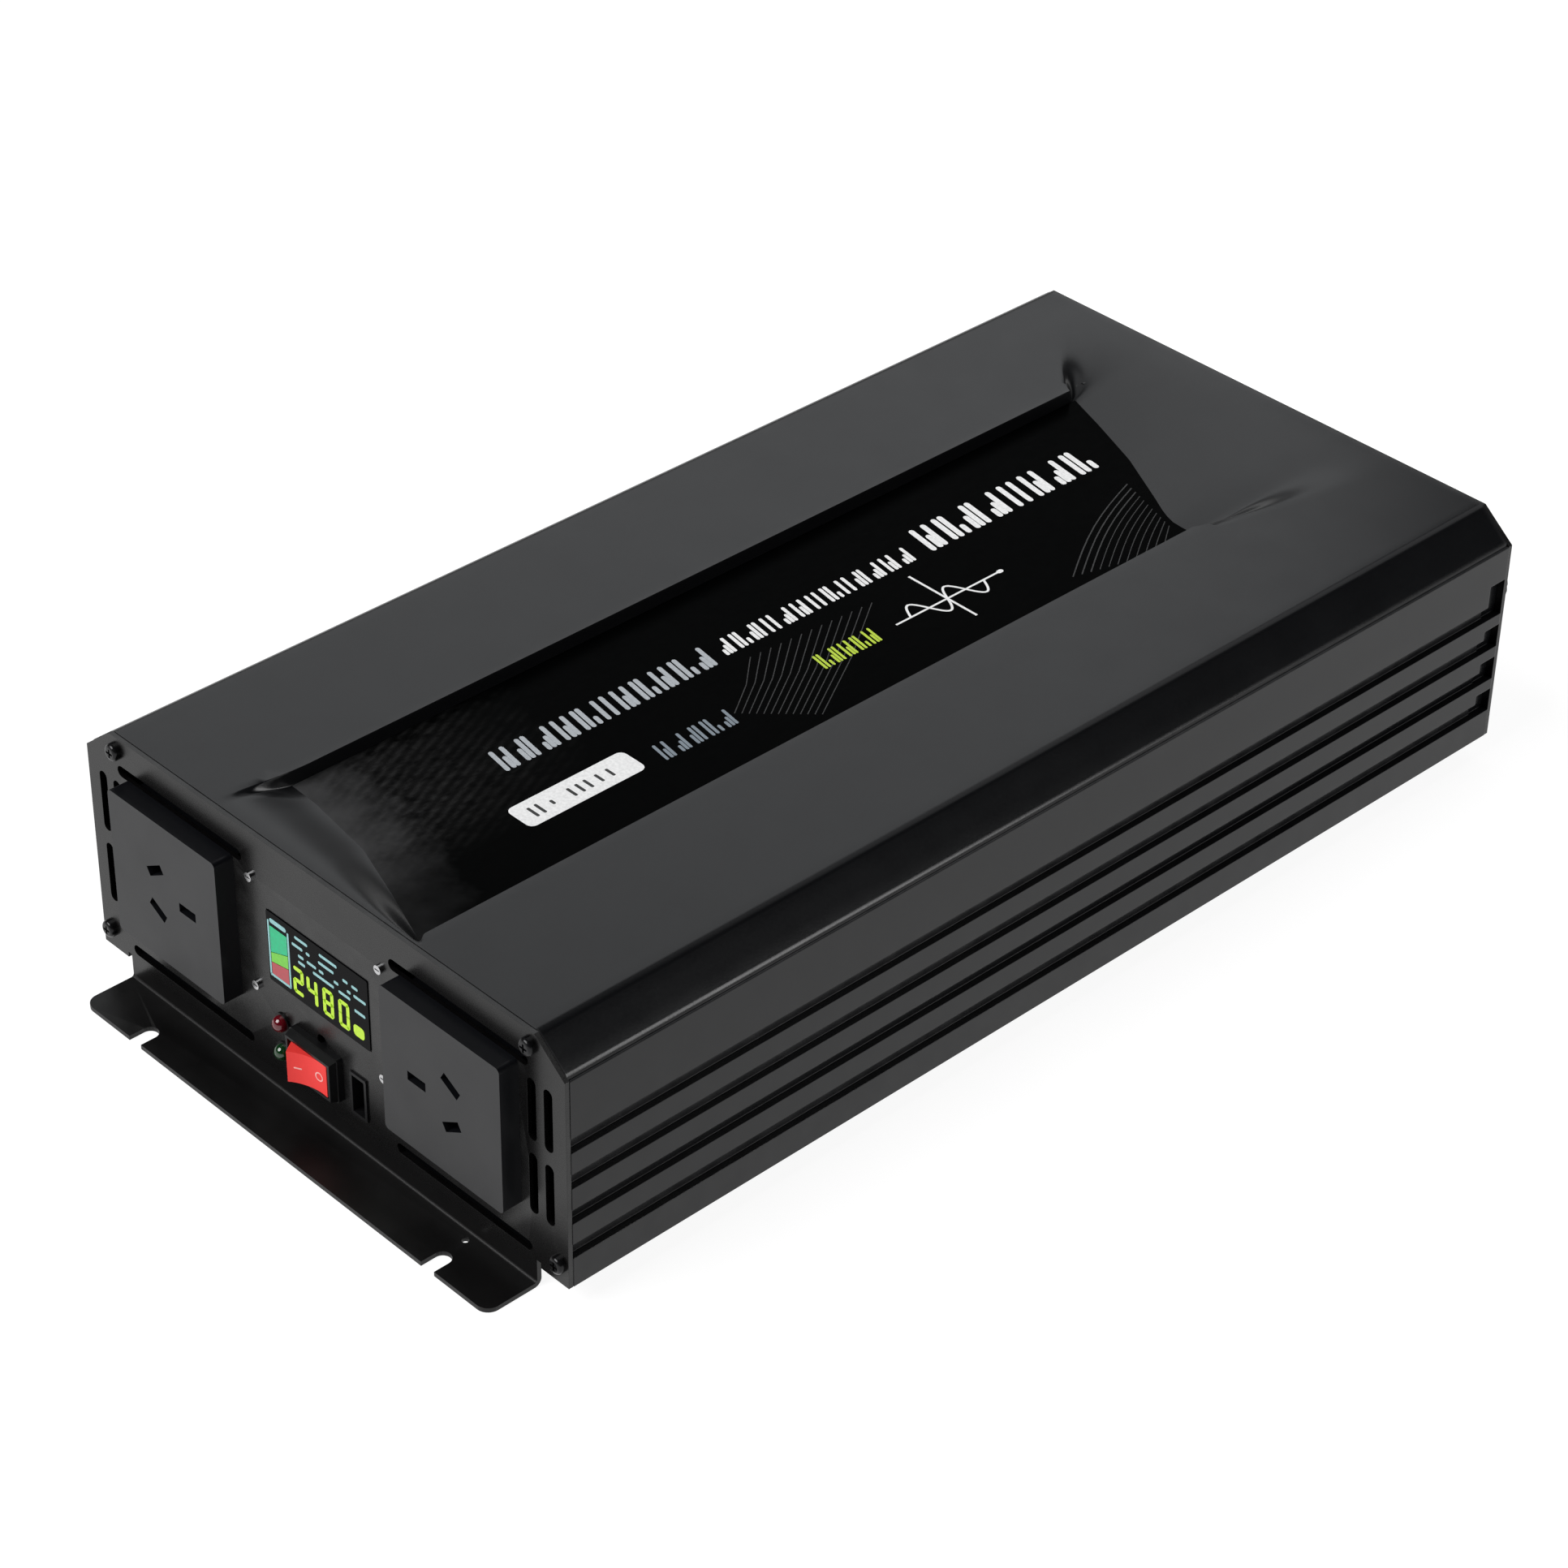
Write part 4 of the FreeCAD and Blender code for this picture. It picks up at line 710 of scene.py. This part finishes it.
def plaque():
    """White plaque with a few dark bars on it."""
    shape = bmesh.new()
    outline = rounded_rectangle(u=12.8, v=82.0, width=11.0, height=42.4, radius=2.2)
    slab(shape, outline, on_label, INK)
    plate = piece("label_plaque", shape, "ink_white")
    shape = bmesh.new()
    for v, length in PLAQUE_BARS:
        bar = rounded_rectangle(13.0, v, length, 1.0, 0.4)
        slab(shape, bar, lambda u, v, w: on_label(u, v, w + INK), INK / 2)
    bars = piece("label_plaque_bars", shape, "ink_black")


def slanted_lines():
    """Faint slanted lines between the marks."""
    shape = bmesh.new()
    count = 13
    for number in range(count):
        share = number / (count - 1)
        start = between((-3.0, 162.0), (0.0, 208.0), share)
        end = between((15.0, 139.0), (32.0, 157.0), share)
        bow = ((start[0] + end[0]) / 2 + 0.7, (start[1] + end[1]) / 2 + 0.8)
        slab(shape, ribbon([start, bow, end], 0.3), on_label, INK / 2)
    lines = piece("label_lines_slanted", shape, "ink_faint")


def curved_lines():
    """Faint curved lines near the label's rear end, the first three of them heavier."""
    shape = bmesh.new()
    count = 11
    segments = 8
    for number in range(count):
        share = number / (count - 1)
        start = between((4.8, 313.0), (29.8, 304.5), share)
        end = between((30.0, 262.0), (38.4, 292.0), share)
        points = []
        for step in range(segments + 1):
            part = step / segments
            bow = 2.6 * math.sin(math.pi * part) * (1 - share)
            u, v = between(start, end, part)
            points.append((u - bow, v))
        slab(shape, ribbon(points, 0.42 if number < 3 else 0.28), on_label, INK / 2)
    lines = piece("label_lines_curved", shape, "ink_dim")


def label_graphics():
    """Everything printed on the label."""
    for row in BAR_ROWS:
        bar_row(*row)
    sine_icon()
    plaque()
    slanted_lines()
    curved_lines()


# ---------------------------------------------------------------- display

# Strokes of a numeral: place across, place up, whether it lies level.
SEGMENTS = {
    "a": (0, 1, True), "g": (0, 0, True), "d": (0, -1, True),
    "f": (-1, 0.5, False), "b": (1, 0.5, False), "e": (-1, -0.5, False), "c": (1, -0.5, False),
}
DIGITS = {"0": "abcdef", "2": "abged", "4": "fgbc", "8": "abcdefg"}
DIGIT_WIDTH = 4.7
DIGIT_HEIGHT = 9.2
DIGIT_WEIGHT = 1.35

# Battery gauge: its two sides, and the fields between them as (piece, ink, lower edge, upper edge), each
# edge as its height at the left and at the right.
GAUGE_LEFT = -20.0
GAUGE_RIGHT = -12.6
GAUGE_FIELDS = (
    ("gauge_teal", "lit_teal", (42.2, 44.8), (51.2, 51.2)),
    ("gauge_green", "lit_green", (38.9, 40.2), (42.0, 44.6)),
    ("gauge_red", "lit_red", (34.8, 34.8), (38.7, 40.0)),
)

# Small marks: height of each row, then the middle and length of each mark in it.
MARK_ROWS = (
    (53.4, ((-6.2, 5.6), (5.4, 7.6))),
    (50.6, ((-8.0, 4.6), (-3.4, 1.6), (4.4, 6.6), (12.6, 2.2), (16.6, 2.6))),
    (47.8, ((-6.6, 2.4), (-2.0, 4.0), (2.2, 2.0), (8.6, 2.0), (14.0, 1.6), (18.6, 5.2))),
    (45.6, ((-6.4, 3.0), (3.0, 9.0), (12.0, 5.0))),
    (43.0, ((18.4, 4.6),)),
)


def digit(shape, numeral, u, v):
    """Seven-stroke numeral with rounded strokes."""
    level_size = (DIGIT_WIDTH - DIGIT_WEIGHT * 0.6, DIGIT_WEIGHT)
    upright_size = (DIGIT_WEIGHT, DIGIT_HEIGHT / 2 - DIGIT_WEIGHT * 0.2)
    for stroke in DIGITS[numeral]:
        du, dv, level = SEGMENTS[stroke]
        centre = (u + du * (DIGIT_WIDTH - DIGIT_WEIGHT) / 2, v + dv * (DIGIT_HEIGHT - DIGIT_WEIGHT) / 2)
        size = level_size if level else upright_size
        slab(shape, rounded_rectangle(*centre, *size, DIGIT_WEIGHT * 0.45), on_window, INK)


def display_graphics():
    """Battery gauge, rows of small marks and a reading in numerals."""
    for name, ink_slot, (low_left, low_right), (high_left, high_right) in GAUGE_FIELDS:
        shape = bmesh.new()
        outline = [(GAUGE_LEFT, low_left), (GAUGE_RIGHT, low_right), (GAUGE_RIGHT, high_right),
                   (GAUGE_LEFT, high_left)]
        slab(shape, outline, on_window, INK)
        piece(name, shape, ink_slot)
    shape = bmesh.new()
    for u in (GAUGE_LEFT - 0.6, GAUGE_RIGHT + 0.6):
        slab(shape, rounded_rectangle(u, 43.6, 0.7, 18.6, 0.3), on_window, INK)
    slab(shape, rounded_rectangle(-16.3, 34.3, 9.0, 0.8, 0.3), on_window, INK)
    slab(shape, rounded_rectangle(-16.3, 53.2, 7.2, 1.5, 0.7), on_window, INK)
    piece("gauge_outline", shape, "lit_pale")
    shape = bmesh.new()
    for numeral, u in zip("2480", (-8.3, -2.3, 4.6, 11.4)):
        digit(shape, numeral, u, 38.6)
    slab(shape, rounded_rectangle(17.6, 36.3, 4.6, 3.8, 1.2), on_window, INK)
    piece("display_reading", shape, "lit_lime")
    shape = bmesh.new()
    for v, marks in MARK_ROWS:
        for u, length in marks:
            slab(shape, rounded_rectangle(u, v, length, 0.95, 0.4), on_window, INK)
    piece("display_marks", shape, "lit_pale")


# ---------------------------------------------------------------- rocker print

# The rocker's hollow face is an arc round a point in front of the pivot, turned by the rocker's rest tilt.
ROCKER_TILT = math.radians(16)
FACE_RADIUS = 17.66
FACE_CENTRE = -23.0
RING_PLACE = 3.5
RING_OUTER = 1.5
RING_INNER = 1.1
RING_STEPS = 24


def rocker_print():
    """Generic line and ring of an on-off switch, on the two halves of the rocker's hollow face."""
    joints = {joint["name"]: joint for joint in frame["record"]["behaviour"]["joints"]}
    pivot = [value / MM for value in joints["rocker_tilt"]["pos_m"]]

    def on_face(u, v, w):
        y = FACE_CENTRE + math.sqrt(FACE_RADIUS ** 2 - u * u) - PRINT_GAP - w
        x_turned = u * math.cos(ROCKER_TILT) - y * math.sin(ROCKER_TILT)
        y_turned = u * math.sin(ROCKER_TILT) + y * math.cos(ROCKER_TILT)
        return Vector((pivot[0] + x_turned, pivot[1] + y_turned, pivot[2] + v))

    shape = bmesh.new()
    slab(shape, rounded_rectangle(-3.6, 0, 2.4, 0.45, 0.2), on_face, INK)
    outer, inner = [], []
    for angle in steps(0, 2 * math.pi, RING_STEPS):
        outer.append((RING_PLACE + RING_OUTER * math.cos(angle), RING_OUTER * math.sin(angle)))
        inner.append((RING_PLACE + RING_INNER * math.cos(angle), RING_INNER * math.sin(angle)))
    band(shape, outer, inner, on_face, INK)
    piece("rocker_print", shape, "rocker_print", body="rocker")


# ---------------------------------------------------------------- fan guards

WIRE_RADIUS = 0.8
RING_RADII = (8.0, 15.0, 22.0, 29.0)
RING_STRETCH = 1.02
RING_POINTS = 16
SPOKE_REACHES = (7.2, 31.0, 34.2)
SPOKE_DEPTH = 2.3 * WIRE_RADIUS
EYE_REACH = 35.36
EYE_RADIUS = 3.2
EYE_POINTS = 8


def wire_ring(guard, x, y, z, radius, count):
    """Closed round loop of wire, from a smooth curve with a number of points."""
    spline = guard.splines.new("NURBS")
    spline.points.add(count - 1)
    for point, angle in zip(spline.points, steps(0, 2 * math.pi, count)):
        point.co = ((x + radius * math.cos(angle)) * MM, y * MM, (z + radius * math.sin(angle)) * MM, 1)
    spline.use_cyclic_u = True
    spline.order_u = 4


def wire_spoke(guard, centre_x, centre_z, angle, low, high):
    """Straight wire across the rings that bends back to the fan's frame at its outer end."""
    spline = guard.splines.new("POLY")
    spline.points.add(len(SPOKE_REACHES) - 1)
    for point, reach in zip(spline.points, SPOKE_REACHES):
        x = centre_x + reach * math.cos(angle)
        y = low + WIRE_RADIUS if reach == SPOKE_REACHES[-1] else high - SPOKE_DEPTH
        z = centre_z + reach * math.sin(angle)
        point.co = (x * MM, y * MM, z * MM, 1)


def wire_guard():
    """Round-wire guards in the place of the plain ones, with an eye round each screw."""
    (_, low, _), (_, high, _) = node_box("fan_guards")
    guard = bpy.data.curves.new("fan_guard_wires", "CURVE")
    guard.dimensions = "3D"
    guard.bevel_depth = WIRE_RADIUS * MM
    guard.bevel_resolution = 3
    rotor_low, rotor_high = node_box("fan_rotor_right")
    fan_low, fan_high = node_box("fan_frame_right")
    centre_x = (rotor_low[0] + rotor_high[0]) / 2
    centre_z = (fan_low[2] + fan_high[2]) / 2
    for side in (-1, 1):
        for radius in RING_RADII:
            radius *= RING_STRETCH
            wire_ring(guard, side * centre_x, high - WIRE_RADIUS, centre_z, radius, RING_POINTS)
        for number in range(4):
            angle = math.radians(45 + 90 * number)
            wire_spoke(guard, side * centre_x, centre_z, angle, low, high)
            eye_x = side * centre_x + EYE_REACH * math.cos(angle)
            eye_z = centre_z + EYE_REACH * math.sin(angle)
            wire_ring(guard, eye_x, low + WIRE_RADIUS + 0.05, eye_z, EYE_RADIUS, EYE_POINTS)
    source = bpy.data.objects.new("fan_guard_source", guard)
    mesh = bpy.data.meshes.new_from_object(source)
    bpy.data.objects.remove(source)
    result = bpy.data.objects.new("fan_guard_wires", mesh)
    bpy.context.scene.collection.objects.link(result)
    mesh.materials.clear()
    mesh.materials.append(MATERIALS["steel_bright"])
    mesh.shade_smooth()
    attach(result, "root")
    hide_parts("fan_guards")


# ---------------------------------------------------------------- CAD nodes

# Width of the softened edges of each visible node, in millimetres.
SOFT_EDGES = {
    "base_tray": 0.25, "front_panel": 0.2, "rear_panel": 0.2, "socket_left": 0.5, "socket_right": 0.5,
    "switch_body": 0.3, "power_rocker": 0.45, "usb_shell": 0.15, "fan_frame_left": 0.4,
    "fan_frame_right": 0.4, "red_terminal_base": 0.5, "black_terminal_base": 0.5, "red_terminal_knob": 0.3,
    "black_terminal_knob": 0.3, "fan_rotor_left": 0.15, "fan_rotor_right": 0.15, "lcd_window": 0.15,
}


def dress_nodes():
    """Give each CAD node its slot's material, and soften the edges of the visible ones."""
    slots = {entry["node"]: entry["material_slot"] for entry in frame["record"]["subparts"]}
    for name, node in NODES.items():
        node.data.materials.clear()
        node.data.materials.append(MATERIALS[slots[name]])
    for name, width in SOFT_EDGES.items():
        weld = NODES[name].modifiers.new("weld", "WELD")
        weld.merge_threshold = 1e-6
        bevel = NODES[name].modifiers.new("soft_edges", "BEVEL")
        bevel.width = width * MM
        bevel.segments = 2
        bevel.limit_method = "ANGLE"
        bevel.angle_limit = math.radians(40)
        bevel.harden_normals = False
        normals = NODES[name].modifiers.new("normals", "WEIGHTED_NORMAL")
        normals.keep_sharp = True


# ---------------------------------------------------------------- stage

# The photograph's camera, fitted to the case's edges: places in metres, the lens in millimetres.
CAMERA_PLACE = Vector((0.72968, -0.72315, 0.75272))
CAMERA_AIM = Vector((-0.00218, -0.01446, 0.03102))
CAMERA_ROLL = math.radians(1.019)
LENS = 96.845
SENSOR = 36.0
FLOOR_SIZE = 60
LIGHT_AIM = Vector((0, 0, 0.04))
SUN_HEADING = Vector((0.25, 0.6, -0.76))


def put_in_scene(name, data, location, heading):
    """Put a light or camera in the scene, looking along a heading."""
    holder = bpy.data.objects.new(name, data)
    bpy.context.scene.collection.objects.link(holder)
    holder.location = location
    holder.rotation_mode = "QUATERNION"
    holder.rotation_quaternion = heading.to_track_quat("-Z", "Y")
    return holder


def lay_floor():
    """Wide pale floor that lights itself, so that it stays near white."""
    bpy.ops.mesh.primitive_plane_add(size=FLOOR_SIZE)
    floor = bpy.context.object
    floor.name = "floor"
    tree, shader = new_material("floor")
    shade = spread(tree, noise(tree, object_coordinates(tree), 3.0), 0, 1)
    uneven = blend_colors(tree, shade, (0.18, 0.18, 0.18), (0.2, 0.2, 0.2))
    tree.links.new(uneven, shader.inputs["Base Color"])
    shader.inputs["Roughness"].default_value = 0.9
    shader.inputs["Specular IOR Level"].default_value = 0.0
    shader.inputs["Emission Color"].default_value = (1, 1, 1, 1)
    shader.inputs["Emission Strength"].default_value = 0.9
    floor.data.materials.append(MATERIALS["floor"])


def hang_backdrop():
    """World that is pale just above the horizon, and dim overhead so that dark paint stays dark."""
    world = bpy.data.worlds.new("studio")
    bpy.context.scene.world = world
    world.use_nodes = True
    tree = world.node_tree
    direction = add(tree, "ShaderNodeTexCoord")
    parts = add(tree, "ShaderNodeSeparateXYZ")
    tree.links.new(direction.outputs["Generated"], parts.inputs["Vector"])
    shade = spread(tree, parts.outputs["Z"], 1, 0.018, 0.05, 0.24)
    grey = blend_colors(tree, shade, (0, 0, 0), (1, 1, 1))
    tree.links.new(grey, tree.nodes["Background"].inputs["Color"])


def softbox(name, location, size, watts, tint):
    """Rectangular area light aimed at the object's middle."""
    light = bpy.data.lights.new(name, "AREA")
    light.shape = "RECTANGLE"
    light.size, light.size_y = size
    light.energy = watts
    light.color = tint
    put_in_scene(name, light, location, LIGHT_AIM - Vector(location))


def hang_lights():
    """Three soft boxes behind the object and at its right, and a broad sun from above."""
    softbox("softbox_back", (-1.5, 1.13, 1.44), (1.55, 1.25), 8.3, (0.96, 0.98, 1.0))
    softbox("softbox_fill", (-0.25, 1.62, 1.76), (1.0, 1.05), 3.0, (0.97, 0.98, 1.0))
    softbox("softbox_right", (1.71, 1.03, 0.93), (0.42, 1.1), 17.0, (1.0, 1.0, 1.0))
    sun = bpy.data.lights.new("overhead", "SUN")
    sun.energy = 3.0
    sun.angle = math.radians(40)
    put_in_scene("overhead", sun, (0, 0, 0), SUN_HEADING)


def place_camera():
    """Camera of the photograph."""
    camera = bpy.data.cameras.new("camera")
    camera.lens = LENS
    camera.sensor_width = SENSOR
    camera.clip_end = 50
    holder = put_in_scene("camera", camera, CAMERA_PLACE, CAMERA_AIM - CAMERA_PLACE)
    holder.rotation_quaternion = holder.rotation_quaternion @ Quaternion((0, 0, 1), CAMERA_ROLL)
    bpy.context.scene.camera = holder


make_materials()
dress_nodes()
cover_shell()
label_film()
label_graphics()
display_graphics()
rocker_print()
wire_guard()
bpy.context.scene.view_settings.view_transform = "Standard"
lay_floor()
hang_backdrop()
hang_lights()
place_camera()
